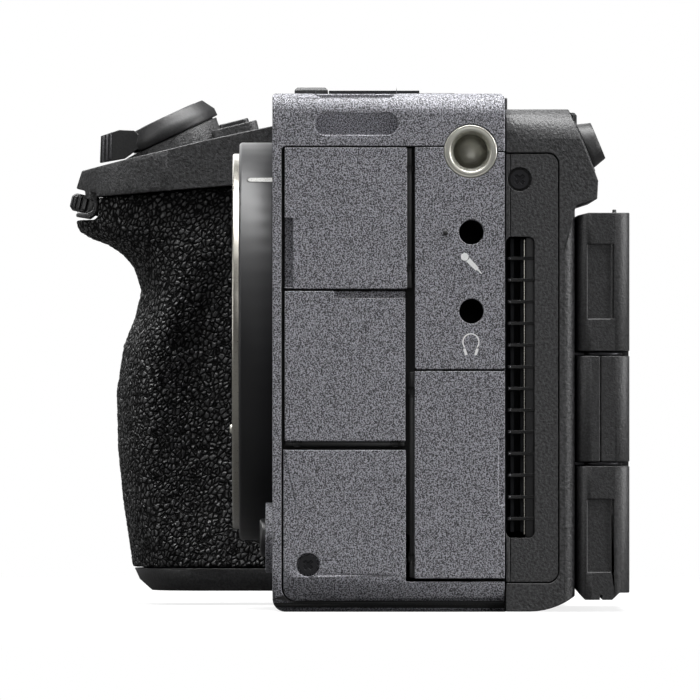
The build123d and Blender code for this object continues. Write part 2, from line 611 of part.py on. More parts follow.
    # Card door opening in the right side, with a pin hole above and below
    block((rear_right - 1, rear_right + 2.5), (19.9, 31.9), (22.0, 60.0), Mode.SUBTRACT)
    rod((card_axis[0], card_axis[1], 21.0), (0, 0, 1), 0.35, 40.0, Mode.SUBTRACT)
    # Lugs inside the wall that carry the joystick's tilting ring
    for side in (-1, 1):
        lug = sorted((stick_place[0] + side * 3.7, stick_place[0] + side * 4.6))
        block(lug, (stick_ball - 0.8, rear_wall - wall + 0.1), (stick_place[1] - 0.9, stick_place[1] + 0.9))
    rod((stick_place[0] - 5, stick_ball, stick_place[1]), (1, 0, 0), 0.45, 10, Mode.SUBTRACT)
    block((-36.2, -30.0), (right_front - 1, plate_rear), (69, 76), Mode.SUBTRACT)
rear_casing.part.label = "rear_casing"
export_step(rear_casing.part, "parts/rear_casing.step")

# Vent cover: black side plate with thirteen slats across its window
slat_pitch = 3.256
slat_count = 13
first_slat = 13.98
slat_thickness = 0.5
slat_front = 63.4
with BuildPart() as vent_cover:
    rounded_prism(side_plane(vent_floor + 0.02), [
        (vent_y[0], vent_z[0] + vent_gap), (vent_y[1] - vent_gap, vent_z[0] + vent_gap),
        (vent_y[1] - vent_gap, vent_z[1] - vent_gap), (vent_y[0], vent_z[1] - vent_gap)],
        [0.15, 1.6, 1.6, 0.15], 1.35)
    block((vent_floor + 1.07, 66), (vent_y[0] + 0.55, vent_y[0] + 0.7), (vent_z[0], vent_z[1]), Mode.SUBTRACT)
    slot_prism(side_plane(60), (vent_window_y[1] - vent_window_y[0], vent_window_z[1] - vent_window_z[0]), 6,
               0.9, ((vent_window_y[0] + vent_window_y[1]) / 2, (vent_window_z[0] + vent_window_z[1]) / 2),
               Mode.SUBTRACT)
    block((vent_floor - 1.4, slat_front), (vent_window_y[1] - 0.02, vent_window_y[1] + 0.5),
          (vent_window_z[0] + 0.2, vent_window_z[1] - 0.2))
    for index in range(slat_count):
        middle = first_slat + index * slat_pitch
        block((vent_floor - 1.4, slat_front), (24.3, vent_window_y[1] + 0.1),
              (middle - slat_thickness / 2, middle + slat_thickness / 2))
    rod((vent_screw_seat, vent_screw[0], vent_screw[1]), (1, 0, 0), 1.82, 2, Mode.SUBTRACT)
    rod((60, vent_screw[0], vent_screw[1]), (1, 0, 0), pilot_radius, 6, Mode.SUBTRACT)
    block((vent_floor - 1.5, vent_floor + 0.01), (vent_window_y[1], vent_window_y[1] + 0.6),
          vent_window_z, Mode.SUBTRACT)
vent_cover.part.label = "vent_cover"
export_step(vent_cover.part, "parts/vent_cover.step")


# Screws: cross recess screws, all small case screws in one group
def screw_solid(seat, outward, head_radius, head_height, shank_length):
    """A flat headed screw; seat is the middle of the underside of its head."""
    direction = Vector(*outward)
    rod(seat, direction, head_radius, head_height)
    rod(Vector(*seat) - direction * shank_length, direction, shank_radius, shank_length + 0.05)
    top = Plane(origin=Vector(*seat) + direction * head_height, z_dir=direction)
    with BuildSketch(top) as cross:
        Rectangle(head_radius * 1.15, head_radius * 0.36, rotation=45)
        Rectangle(head_radius * 0.36, head_radius * 1.15, rotation=45)
    extrude(cross.sketch, amount=-head_height * 0.75, mode=Mode.SUBTRACT)


with BuildPart() as case_screws:
    for place in side_screws:
        screw_solid((side_screw_seat, place[0], place[1]), (1, 0, 0), 1.42, 0.6, 3.6)
    screw_solid((vent_screw_seat, vent_screw[0], vent_screw[1]), (1, 0, 0), 1.45, 0.6, 2.2)
    for x, y in base_screws:
        screw_solid((x, y, base_screw_seat), (0, 0, -1), 1.6, 0.7, 1.0)
    for angle in (45, 135, 225, 315):
        place = (lens_x + screw_circle * math.cos(math.radians(angle)), flange_y + 0.9,
                 lens_z + screw_circle * math.sin(math.radians(angle)))
        screw_solid(place, (0, -1, 0), 1.4, 0.75, 1.8)
case_screws.part.label = "case_screws"
export_step(case_screws.part, "parts/case_screws.step")


# Grip: sections across its height, each with a blunt nose, a crease and a finger recess
grip_inner = -28.6
grip_apex = -44.0
nose_reach = 15.0
grip_heel = (-62.45, 18.5)


def grip_section(z, front, crease, recess, side, inset=0.0):
    """A closed face of the grip at one height: front, crease and side are its reach forward and outward."""
    inner = grip_inner - inset
    outer = side + inset
    with BuildSketch(Plane.XY.offset(z)) as section:
        with BuildLine():
            far = EllipticalCenterArc((grip_apex, front + nose_reach), grip_apex - outer, nose_reach, 180,
                                      arc_size=90)
            near = EllipticalCenterArc((grip_apex, crease), inner - grip_apex, crease - front, 270,
                                       arc_size=90)
            Polyline(near @ 1, (inner - recess, crease + 5.5), (inner - recess * 0.4, plate_front - 0.02),
                     (-36.4, plate_front - 0.02), (-36.4, grip_heel[1]), (grip_heel[0] + inset, grip_heel[1]),
                     (outer, -6.0), far @ 0)
        make_face()
    return section.sketch


grip_rows = [
    (5.8, -33.0, -24.0, 0.2, -63.9), (10.0, -33.6, -26.8, 0.9, -64.5), (16.0, -34.5, -28.6, 2.4, -64.85),
    (24.0, -35.3, -29.7, 3.0, -64.85), (33.0, -35.5, -29.7, 3.0, -64.85), (40.0, -34.4, -28.8, 2.8, -64.8),
    (44.5, -32.6, -27.2, 2.2, -64.6), (48.5, -31.7, -25.8, 1.6, -64.3), (52.0, -32.8, -25.2, 0.9, -64.0),
    (54.0, -34.5, -24.6, 0.5, -63.8), (55.6, -36.9, -24.0, 0.4, -63.6), (56.4, -39.2, -23.8, 0.3, -63.5),
    (57.6, -41.3, -23.6, 0.3, -63.4), (59.8, -42.0, -23.6, 0.3, -63.3), (65.5, -41.8, -23.6, 0.3, -63.2)]
front_dial_axis = (0, -math.sin(math.radians(dial_tilt)), math.cos(math.radians(dial_tilt)))
front_dial_radius = 6.55
front_dial_thickness = 2.75
dial_bay = 3.35
axle_radius = 1.2
dial_foot = Vector(*front_dial_centre) - Vector(*front_dial_axis) * (dial_bay / 2)
seam_front = (-38.4, 62.8)
seam_rear = (-11.05, 65.0)
bay_rear = -38.3
cover_lip = 59.4
core_x = (chamber_x[0] - chamber_wall, chamber_x[1] + chamber_wall - 0.4)
core_y = (chamber_y[0] - chamber_wall, chamber_y[1] + chamber_wall)
with BuildPart() as grip_cover:
    for lower, upper in zip(grip_rows[:-1], grip_rows[1:]):
        loft([grip_section(*lower), grip_section(*upper)], ruled=True)
    with BuildSketch(Plane.XY.offset(5.0)) as core_plan:
        with Locations(((core_x[0] + core_x[1]) / 2, (core_y[0] + core_y[1]) / 2)):
            RectangleRounded(core_x[1] - core_x[0], core_y[1] - core_y[0], 2.4)
    extrude(amount=62, mode=Mode.SUBTRACT)
    block((-40, -36), (-8, 19), (5, 67), Mode.SUBTRACT)
    prism(side_plane(-70), [(-50, seam_front[1]), seam_front, seam_rear, (20, 67.3), (20, 75), (-50, 75)], 60,
          Mode.SUBTRACT)
    block((-70, -20), (-50, bay_rear), (cover_lip, 70), Mode.SUBTRACT)
    rod(dial_foot, front_dial_axis, front_dial_radius + 0.5, 8.0, Mode.SUBTRACT)
    rod(dial_foot - Vector(*front_dial_axis) * 2.5, front_dial_axis, axle_radius + 0.05, 4.0, Mode.SUBTRACT)
grip_cover.part.label = "grip_cover"
export_step(grip_cover.part, "parts/grip_cover.step")

# Grip core: the battery chamber inside the grip
with BuildPart() as grip_core:
    block(core_x, core_y, (5.7, 64.0))
    fillet(grip_core.edges().filter_by(Axis.Z), radius=2.4)
    block((chamber_x[0] + 2, chamber_x[1] - 2), (chamber_y[0] + 2, chamber_y[1] - 2), (60, 66), Mode.SUBTRACT)
    with BuildSketch(Plane.XY.offset(5)) as chamber_plan:
        with Locations(((chamber_x[0] + chamber_x[1]) / 2, (chamber_y[0] + chamber_y[1]) / 2)):
            RectangleRounded(chamber_x[1] - chamber_x[0], chamber_y[1] - chamber_y[0], 1.6)
    extrude(amount=53.9, mode=Mode.SUBTRACT)
grip_core.part.label = "battery_chamber"
export_step(grip_core.part, "parts/battery_chamber.step")

# Base cap of the grip: black plastic rim round the battery door
with BuildPart() as grip_base:
    foot = grip_section(2.2, -30.0, -22.0, 0.2, -62.9, 0.8)
    waist = grip_section(3.9, -31.9, -23.5, 0.2, -63.4, 0.3)
    brim = grip_section(5.65, -32.7, -24.0, 0.2, -63.7, 0.1)
    loft([foot, waist], ruled=True)
    loft([waist, brim], ruled=True)
    block(chamber_x, chamber_y, (1, 7), Mode.SUBTRACT)
    rod((chamber_x[1] - 0.8, chamber_y[0] - 0.8, 2.9), (0, 1, 0), 0.5, 41, Mode.SUBTRACT)
grip_base.part.label = "grip_base_cap"
export_step(grip_base.part, "parts/grip_base_cap.step")

# Battery door: hinged on its inner edge, with a latch thumb pad
door_hinge = (chamber_x[1] - 0.8, 2.9)
with BuildPart() as battery_door:
    block((chamber_x[0] + 0.3, door_hinge[0]), (chamber_y[0] + 0.3, chamber_y[1] - 0.3), (2.45, 4.4))
    rod((door_hinge[0], chamber_y[0] + 0.3, door_hinge[1]), (0, 1, 0), 0.45, 38.7)
    rod((door_hinge[0], chamber_y[0] - 0.6, door_hinge[1]), (0, 1, 0), 0.42, 40.5)
    block((-59.5, -55.5), (-10.0, -2.0), (2.0, 2.9), Mode.SUBTRACT)
battery_door.part.label = "battery_door"
export_step(battery_door.part, "parts/battery_door.step")

with BuildPart() as battery:
    block((-60.8, -38.1), (-21.5, 17.2), (6.2, 57.9))
    fillet(battery.edges().filter_by(Axis.Z), radius=2.0)
battery.part.label = "battery"
export_step(battery.part, "parts/battery.step")

# Top shell of the grip: sloping black deck with the lever wedge and the button pad
shell_x = (-62.6, grip_joint - 0.1)
shell_profile = [
    (-38.38, 62.95), (-38.38, 63.45), (-41.7, 64.25), (-40.8, 66.95), (-33.8, 68.7), (-27.4, 70.2),
    (-22.1, 71.5), (-14.9, 73.05), (-6.0, 74.9), (4.0, 75.6), (23.8, 75.6), (23.8, 69.55), (-11.1, 69.55),
    (seam_rear[0], 65.15)]
dial_bezel = [
    (-38.38, 64.4), (-38.38, 61.0), (-38.75, 60.2), (-39.6, 59.55), (-42.2, 59.95), (-42.2, 60.6),
    (-39.9, 60.45), (-39.25, 60.75), (-38.95, 61.3), (-38.95, 62.4), (-40.2, 62.7), (-40.35, 64.4)]
lever_axis = (0, -math.sin(math.radians(lever_tilt)), math.cos(math.radians(lever_tilt)))
lever_along = (0, math.cos(math.radians(lever_tilt)), math.sin(math.radians(lever_tilt)))
lever_radius = 7.1
lever_rib = (5.6, 6.2)
rib_gap = 0.3
pad_angle = 14.0
pad_centre = Plane(origin=(-46.0, -17.1, 73.4), x_dir=(1, 0, 0),
                   z_dir=(0, -math.sin(math.radians(pad_angle)), math.cos(math.radians(pad_angle))))
pad_buttons = [-52.5, -46.0, -39.5]
pad_button_size = (4.6, 4.6)
lever_plane = Plane(origin=lever_centre, x_dir=(1, 0, 0), z_dir=lever_axis)
with BuildPart() as top_shell:
    prism(side_plane(shell_x[0]), shell_profile, shell_x[1] - shell_x[0])
    prism(side_plane(shell_x[0]), [(-11.2, 65.15), (18.6, 67.1), (18.6, 69.6), (-11.2, 69.6)], 25.9)
    prism(side_plane(-57.0), dial_bezel, 22.0)
    # Nose corners of the deck are rounded in plan
    with BuildSketch(Plane.XY.offset(58)) as deck_plan:
        with BuildLine():
            far = EllipticalCenterArc((grip_apex, -27.5), grip_apex - shell_x[0], 14.25, 180, arc_size=90)
            near = EllipticalCenterArc((grip_apex, -27.5), shell_x[1] - grip_apex, 14.25, 270, arc_size=90)
            Polyline(near @ 1, (shell_x[1], 24), (shell_x[0], 24), far @ 0)
        make_face()
    extrude(amount=20, mode=Mode.INTERSECT)
    # Wedge under the zoom lever
    with BuildSketch(lever_plane.offset(-0.12)) as wedge_top:
        Circle(lever_radius - 0.15)
    extrude(amount=-6.0)
    # Lip of the wedge that fills the room under the lever's tab
    with BuildSketch(Plane(origin=lever_centre, x_dir=lever_along, z_dir=(1, 0, 0)).offset(-3.3)):
        with BuildLine():
            Polyline((-8.7, -0.14), (-7.4, -0.05), (-6.0, 0.12), (-6.0, -3.0), (-8.0, -2.2), close=True)
        make_face()
    extrude(amount=6.6)
    with BuildSketch(lever_plane.offset(-0.5)):
        Circle(lever_rib[1])
        Circle(lever_rib[0], mode=Mode.SUBTRACT)
    extrude(amount=0.85)
    # Pad for the three assignable buttons
    slot_prism(pad_centre.offset(-1.5), (20.5, 7.0), 2.1, 1.2)
    rod(Vector(*lever_centre) - Vector(*lever_axis) * 5, Vector(*lever_axis), 2.05, 8, Mode.SUBTRACT)
    for x in pad_buttons:
        slot_prism(pad_centre.offset(-1.3), (pad_button_size[0] + 0.3, pad_button_size[1] + 0.3), 4, 0.9,
                   (x + 46.0, 0), Mode.SUBTRACT)
    # Bay of the front dial, with its axle hole
    rod(dial_foot, front_dial_axis, front_dial_radius + 0.5, dial_bay, Mode.SUBTRACT)
    rod(dial_foot, front_dial_axis, axle_radius + 0.05, dial_bay + 2.5, Mode.SUBTRACT)
    rod((rear_dial_centre[0], rear_dial_centre[1], 72.4), (0, 0, 1), 8.6, 6, Mode.SUBTRACT)
top_shell.part.label = "grip_top_shell"
export_step(top_shell.part, "parts/grip_top_shell.step")


# Zoom lever: a ring round the record button with a ribbed finger tab in front
ring_height = 1.25
cone_height = 3.2
tab_width = 7.2
record_radius = 4.65
with BuildPart() as zoom_lever:
    with BuildSketch(lever_plane.offset(0.1)):
        Circle(lever_radius)
    extrude(amount=ring_height - 0.1)
    with BuildSketch(lever_plane.offset(ring_height)):
        Circle(lever_radius)
    with BuildSketch(lever_plane.offset(cone_height)):
        Circle(lever_radius - 1.2)
    loft()
    with BuildSketch(Plane(origin=lever_centre, x_dir=lever_along, z_dir=(1, 0, 0)).offset(-tab_width / 2)):
        with BuildLine():
            Polyline((-12.5, 1.05), (-10.6, 4.75), (-7.65, 4.4), (-5.6, 3.35), (-4.6, 0.6), (-6.95, 0.4),
                     (-8.75, 0.05), close=True)
        make_face()
    extrude(amount=tab_width)
    with BuildSketch(lever_plane):
        Circle(record_radius + 0.2)
    extrude(amount=6, mode=Mode.SUBTRACT)
    rod(Vector(*lever_centre) - Vector(*lever_axis) * 4.2, Vector(*lever_axis), 1.95, 4.9)
    with BuildSketch(lever_plane.offset(0.1)):
        Circle(5.2)
        Circle(1.5, mode=Mode.SUBTRACT)
    extrude(amount=0.6)
    with BuildSketch(lever_plane):
        Circle(lever_rib[1] + rib_gap)
        Circle(lever_rib[0] - rib_gap, mode=Mode.SUBTRACT)
    extrude(amount=0.62, mode=Mode.SUBTRACT)
    rod(Vector(*lever_centre) - Vector(*lever_axis) * 5.2, Vector(*lever_axis), 1.45, 10, Mode.SUBTRACT)
zoom_lever.part.label = "zoom_lever"
export_step(zoom_lever.part, "parts/zoom_lever.step")

with BuildPart() as record_button:
    rod(Vector(*lever_centre) + Vector(*lever_axis) * 1.75, Vector(*lever_axis), record_radius, 1.55)
    rod(Vector(*lever_centre) - Vector(*lever_axis) * 2.0, Vector(*lever_axis), 1.35, 4.0)
record_button.part.label = "record_button"
export_step(record_button.part, "parts/record_button.step")


def pad_button(x):
    """One square assignable button in its pocket on the sloping pad."""
    slot_prism(pad_centre.offset(-0.6), pad_button_size, 1.85, 0.8, (x + 46.0, 0))


with BuildPart() as iso_button:
    pad_button(pad_buttons[0])
iso_button.part.label = "iso_button"
export_step(iso_button.part, "parts/iso_button.step")

with BuildPart() as balance_button:
    pad_button(pad_buttons[1])
balance_button.part.label = "white_balance_button"
export_step(balance_button.part, "parts/white_balance_button.step")

with BuildPart() as iris_button:
    pad_button(pad_buttons[2])
iris_button.part.label = "iris_button"
export_step(iris_button.part, "parts/iris_button.step")


# Dials: knurled discs on short axles
def knurled_disc(plane, radius, thickness, teeth, depth, bevel):
    """A disc with a chamfer on both faces and straight flutes all round its rim."""
    levels = [(-thickness / 2, radius - bevel), (-thickness / 2 + bevel, radius),
              (thickness / 2 - bevel, radius), (thickness / 2, radius - bevel)]
    sections = []
    for height, size in levels:
        with BuildSketch(plane.offset(height)) as section:
            Circle(size)
        sections.append(section.sketch)
    loft(sections, ruled=True)
    with BuildSketch(plane.offset(-thickness / 2)) as flutes:
        with PolarLocations(radius, teeth):
            Rectangle(depth * 2, 2 * math.pi * radius / teeth * 0.42)
    extrude(flutes.sketch, amount=thickness, mode=Mode.SUBTRACT)


front_dial_plane = Plane(origin=front_dial_centre, x_dir=(1, 0, 0), z_dir=front_dial_axis)
rear_dial_plane = Plane(origin=(rear_dial_centre[0], rear_dial_centre[1], 74.35))
with BuildPart() as front_dial:
    knurled_disc(front_dial_plane, front_dial_radius, front_dial_thickness, 30, 0.35, 0.55)
    rod(dial_foot - Vector(*front_dial_axis) * 2.0, front_dial_axis, axle_radius, dial_bay + 4.0)
front_dial.part.label = "front_dial"
export_step(front_dial.part, "parts/front_dial.step")

with BuildPart() as rear_dial:
    knurled_disc(rear_dial_plane, 8.3, 3.3, 38, 0.35, 0.4)
    rod((rear_dial_centre[0], rear_dial_centre[1], 69.5), (0, 0, 1), 1.5, 4.0)
rear_dial.part.label = "rear_dial"
export_step(rear_dial.part, "parts/rear_dial.step")

# Rear controls
normal = Vector(*slope_normal)
with BuildPart() as power_switch:
    slope = Plane(origin=power_place, x_dir=(1, 0, 0), z_dir=slope_normal)
    with BuildSketch(slope.offset(power_ring_height + 0.04)):
        Circle(3.55)
    with BuildSketch(slope.offset(2.45)):
        Circle(2.9)
    loft()
    rod(Vector(*power_place), normal, power_hub_radius + 0.3, power_hub_height + 0.15, Mode.SUBTRACT)
    rod(Vector(*power_place) - normal * 2.9, normal, 1.2, 4.0)
power_switch.part.label = "power_switch"
export_step(power_switch.part, "parts/power_switch.step")

with BuildPart() as menu_button:
    rod(Vector(*menu_place) - normal * 1.2, normal, 2.2, 2.0)
menu_button.part.label = "menu_button"
export_step(menu_button.part, "parts/menu_button.step")


def rear_button(place):
    """A round button through the rear wall with a flange inside; place is X, Z and radius."""
    rod((place[0], rear_wall - wall - 0.1, place[1]), (0, 1, 0), place[2], wall + 0.8)
    rod((place[0], rear_wall - wall - 0.6, place[1]), (0, 1, 0), place[2] + flange_extra, 0.55)


with BuildPart() as function_button:
    rear_button(rear_buttons["function_button"])
function_button.part.label = "function_button"
export_step(function_button.part, "parts/function_button.step")

with BuildPart() as playback_button:
    rear_button(rear_buttons["playback_button"])
playback_button.part.label = "playback_button"
export_step(playback_button.part, "parts/playback_button.step")

with BuildPart() as joystick:
    rod((stick_place[0], stick_ball, stick_place[1]), (0, 1, 0), 1.2, 4.6)
    rod((stick_place[0], 35.0, stick_place[1]), (0, 1, 0), 2.6, 1.5)
    with Locations((stick_place[0], stick_ball, stick_place[1])):
        Sphere(1.8)
    rod((stick_place[0], stick_ball, stick_place[1] - 2.9), (0, 0, 1), 0.4, 5.8)
joystick.part.label = "joystick"
export_step(joystick.part, "parts/joystick.step")

# The ring round the joystick's ball tilts on its own pins, so the stick goes both ways
with BuildPart() as stick_ring:
    rod((stick_place[0], stick_ball - 0.6, stick_place[1]), (0, 1, 0), 3.0, 1.2)
    rod((stick_place[0] - 4.5, stick_ball, stick_place[1]), (1, 0, 0), 0.4, 9.0)
    rod((stick_place[0], stick_ball - 1.6, stick_place[1]), (0, 1, 0), 2.1, 4.0, Mode.SUBTRACT)
    rod((stick_place[0], stick_ball, stick_place[1] - 4), (0, 0, 1), 0.45, 8.0, Mode.SUBTRACT)
stick_ring.part.label = "joystick_gimbal"
export_step(stick_ring.part, "parts/joystick_gimbal.step")

with BuildPart() as control_wheel:
    knurled_disc(Plane(origin=(wheel_place[0], 34.5, wheel_place[1]), x_dir=(1, 0, 0), z_dir=(0, 1, 0)),
                 9.5, 2.2, 48, 0.25, 0.4)
    rod((wheel_place[0], 33.0, wheel_place[1]), (0, 1, 0), 4.3, 4, Mode.SUBTRACT)
control_wheel.part.label = "control_wheel"
export_step(control_wheel.part, "parts/control_wheel.step")

with BuildPart() as centre_button:
    rod((wheel_place[0], 33.9, wheel_place[1]), (0, 1, 0), 4.0, 1.6)
    rod((wheel_place[0], 31.6, wheel_place[1]), (0, 1, 0), 3.1, 2.4)
centre_button.part.label = "centre_button"
export_step(centre_button.part, "parts/centre_button.step")

with BuildPart() as thumb_rest:
    slot_prism(rear_plane(rear_wall), (7.6, 21.0), 2.2, 2.4, (54.9, 48.3))
    chamfer(thumb_rest.edges().group_by(Axis.Y)[-1], length=0.9)
thumb_rest.part.label = "thumb_rest"
export_step(thumb_rest.part, "parts/thumb_rest.step")

with BuildPart() as card_door:
    block((rear_right, card_axis[0] + card_knuckle), (20.15, card_axis[1]), (22.3, 59.7))
    rod((card_axis[0], card_axis[1], 22.3), (0, 0, 1), card_knuckle, 37.4)
    rod((card_axis[0], card_axis[1], 21.2), (0, 0, 1), 0.3, 39.6)
card_door.part.label = "card_door"
export_step(card_door.part, "parts/card_door.step")

# Monitor hinge: a fixed fork with its pin, the arm block, and the cross shaft
with BuildPart() as hinge_fork:
    for low in (block_z[0] - 0.5, block_z[1] + 0.1):
        rod((swing_axis[0], swing_axis[1], low), (0, 0, 1), 2.9, 0.4)
        block((58.1, 62.2), (31.2, swing_axis[1]), (low, low + 0.4))
    block((56.2, 62.2), (31.0, rear_wall - wall), (18.5, 42.5))
    rod((swing_axis[0], swing_axis[1], block_z[0] - 0.5), (0, 0, 1), 1.2, block_z[1] - block_z[0] + 1.0)
hinge_fork.part.label = "monitor_hinge_fork"
export_step(hinge_fork.part, "parts/monitor_hinge_fork.step")

block_inner = 51.9
end_radius = 2.2
end_groove_y = (35.05, 35.25)
arm_seam_y = (38.1, 38.3)
with BuildPart() as monitor_arm:
    block((block_inner, monitor_x[1]), monitor_y, block_z)
    fillet(monitor_arm.edges().filter_by(Axis.Z).group_by(Axis.X)[-1], radius=end_radius)
    rod((swing_axis[0], swing_axis[1], 20), (0, 0, 1), 1.27, 22, Mode.SUBTRACT)
    rod((block_inner - 1, swing_axis[1], shaft_z), (1, 0, 0), 2.0, 6, Mode.SUBTRACT)
    block((monitor_x[1] - 0.3, 66), end_groove_y, (20, 41), Mode.SUBTRACT)
    block((monitor_x[1] - 0.2, 66), arm_seam_y, (20, 41), Mode.SUBTRACT)
monitor_arm.part.label = "monitor_arm"
export_step(monitor_arm.part, "parts/monitor_arm.step")

with BuildPart() as monitor_shaft:
    rod((44.0, swing_axis[1], shaft_z), (1, 0, 0), 1.98, 12.8)
monitor_shaft.part.label = "monitor_shaft"
export_step(monitor_shaft.part, "parts/monitor_shaft.step")

cut_inner = 51.5
cut_z = (21.85, 39.15)
screen_x = (-9.6, 49.6)
screen_z = (5.2, 56.2)
end_panel_y = (36.2, 39.75)
end_panels_z = [(43.95, 55.2), (5.94, 16.95)]
rib_groove_y = (39.95, 40.2)
head_chamfer = [(34.0, 59.3), (36.4, monitor_z[1]), (36.4, 61.0), (34.0, 61.0)]
foot_chamfer = [(34.0, 3.97), (35.83, monitor_z[0]), (35.83, 0.0), (34.0, 0.0)]
rear_chamfer = [(39.95, monitor_z[0]), (41.05, 2.87), (43.0, 2.87), (43.0, 0.0), (39.95, 0.0)]
foot_slit_y = (38.1, 38.4)
with BuildPart() as monitor_case:
    block(monitor_x, monitor_y, monitor_z)
    fillet(monitor_case.edges().filter_by(Axis.Z).group_by(Axis.X)[-1], radius=end_radius)
    fillet(monitor_case.edges().filter_by(Axis.Z).group_by(Axis.X)[0], radius=1.5)
    block((cut_inner, 66), (34, 43), cut_z, Mode.SUBTRACT)
    block(screen_x, (monitor_y[1] - 1.2, 44), screen_z, Mode.SUBTRACT)
    for outline in (head_chamfer, foot_chamfer, rear_chamfer):
        prism(side_plane(monitor_x[0] - 1), outline, monitor_x[1] - monitor_x[0] + 2, Mode.SUBTRACT)
    block((monitor_x[0] - 1, 66), foot_slit_y, (0, monitor_z[0] + 0.75), Mode.SUBTRACT)
    for z in end_panels_z:
        block((monitor_x[1] - 0.35, 66), end_panel_y, z, Mode.SUBTRACT)
        block((monitor_x[1] - 0.25, 66), rib_groove_y, z, Mode.SUBTRACT)
    block((monitor_x[1] - 0.3, 66), end_groove_y, (3.6, 59.0), Mode.SUBTRACT)
    rod((40.0, swing_axis[1], shaft_z), (1, 0, 0), 2.0, 14, Mode.SUBTRACT)
    rod((60, 40.3, monitor_z[1] - 0.3), (0, 0, 1), 0.3, 0.8)
monitor_case.part.label = "monitor_case"
export_step(monitor_case.part, "parts/monitor_case.step")

with BuildPart() as monitor_screen:
    block((screen_x[0] + 0.05, screen_x[1] - 0.05), (monitor_y[1] - 1.2, monitor_y[1] - 0.15),
          (screen_z[0] + 0.05, screen_z[1] - 0.05))
monitor_screen.part.label = "monitor_screen"
export_step(monitor_screen.part, "parts/monitor_screen.step")

# Inside: frame, sensor, board, cooling, cards
with BuildPart() as chassis:
    block((-30.0, 46.5), (-7.35, -5.85), (5.0, 68.0))
    block((lens_x - 26.2, lens_x + 26.2), (-8, -5), (lens_z - 20.2, lens_z + 20.2), Mode.SUBTRACT)
    for x in (-26.0, 43.0):
        for z in (9.0, 64.0):
            rod((x, -6.0, z), (0, 1, 0), 2.0, 12.0)
chassis.part.label = "chassis_frame"
export_step(chassis.part, "parts/chassis_frame.step")

with BuildPart() as sensor_unit:
    block((lens_x - 26, lens_x + 26), (-7.3, 2.2), (lens_z - 20, lens_z + 20))
    block((lens_x - 20.6, lens_x + 20.6), (-8, -3.4), (lens_z - 14.6, lens_z + 14.6), Mode.SUBTRACT)
    block((lens_x - 18.2, lens_x + 18.2), (-4, 0.8), (lens_z - 12.3, lens_z + 12.3), Mode.SUBTRACT)
sensor_unit.part.label = "sensor_unit"
export_step(sensor_unit.part, "parts/sensor_unit.step")

with BuildPart() as sensor_glass:
    block((lens_x - 20.5, lens_x + 20.5), (-4.5, -3.4), (lens_z - 14.5, lens_z + 14.5))
sensor_glass.part.label = "sensor_glass"
export_step(sensor_glass.part, "parts/sensor_glass.step")

with BuildPart() as main_board:
    block((-30.0, 46.5), (6.0, 7.2), (6.0, 67.0))
    block((-24.0, -6.0), (7.2, 8.6), (40.0, 58.0))
main_board.part.label = "main_board"
export_step(main_board.part, "parts/main_board.step")

with BuildPart() as heat_sink:
    block((-4.0, 47.0), (7.2, 9.2), (12.0, 60.0))
    block((46.0, 47.6), (7.2, 30.5), (12.0, 56.0))
    for index in range(4):
        y = 24.7 + index * 1.5
        block((47.5, 61.2), (y, y + 0.5), (12.0, 56.0))
heat_sink.part.label = "heat_sink"
export_step(heat_sink.part, "parts/heat_sink.step")

fan_x = 28.0
fan_z = 38.0
with BuildPart() as fan_housing:
    block((fan_x - 16, fan_x + 16), (9.2, 19.2), (fan_z - 16, fan_z + 16))
    rod((fan_x, 10.4, fan_z), (0, 1, 0), 14.4, 10, Mode.SUBTRACT)
    rod((fan_x, 10.3, fan_z), (0, 1, 0), 1.0, 7.2)
    rod((fan_x + 10, 8.5, fan_z + 10), (0, 1, 0), 1.0, 3, Mode.SUBTRACT)
fan_housing.part.label = "fan_housing"
export_step(fan_housing.part, "parts/fan_housing.step")

with BuildPart() as fan_rotor:
    rod((fan_x, 11.2, fan_z), (0, 1, 0), 5.5, 6.8)
    with Locations(Plane(origin=(fan_x, 11.6, fan_z), z_dir=(0, 1, 0)).location):
        with PolarLocations(9.2, 9):
            Box(8.6, 0.9, 5.6, rotation=(28, 0, 0), align=(Align.CENTER, Align.CENTER, Align.MIN))
    rod((fan_x, 9, fan_z), (0, 1, 0), 1.05, 8.8, Mode.SUBTRACT)
fan_rotor.part.label = "fan_rotor"
export_step(fan_rotor.part, "parts/fan_rotor.step")

with BuildPart() as card_slots:
    block((-60.2, -37.5), (19.4, 31.0), (26.0, 56.0))
    for y in (21.4, 26.4):
        block((-61, -39.5), (y, y + 2.6), (28.0, 54.0), Mode.SUBTRACT)
card_slots.part.label = "card_slots"
export_step(card_slots.part, "parts/card_slots.step")
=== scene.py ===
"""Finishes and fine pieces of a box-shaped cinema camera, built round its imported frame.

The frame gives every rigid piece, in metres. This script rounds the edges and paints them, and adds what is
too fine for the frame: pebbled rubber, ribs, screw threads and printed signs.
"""

import math

import bmesh
import bpy
from bpy.props import FloatProperty, FloatVectorProperty, IntProperty, PointerProperty
from mathutils import Matrix, Vector, noise


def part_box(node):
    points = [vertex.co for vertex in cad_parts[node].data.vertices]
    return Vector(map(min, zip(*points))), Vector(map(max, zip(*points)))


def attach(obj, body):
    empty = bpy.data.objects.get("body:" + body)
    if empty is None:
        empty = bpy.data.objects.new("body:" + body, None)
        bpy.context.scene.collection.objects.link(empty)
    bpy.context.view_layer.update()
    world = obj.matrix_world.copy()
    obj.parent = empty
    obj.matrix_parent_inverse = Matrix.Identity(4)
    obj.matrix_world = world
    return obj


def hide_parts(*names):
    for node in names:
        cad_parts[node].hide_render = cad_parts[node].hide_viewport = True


bl_info = {
    "name": "Cinema camera looks",
    "version": (1, 0, 0),
    "blender": (4, 5, 0),
    "location": "View3D > Sidebar > Camera",
    "description": "Finishes and fine pieces of a box-shaped cinema camera, round its frame",
    "category": "Object",
}

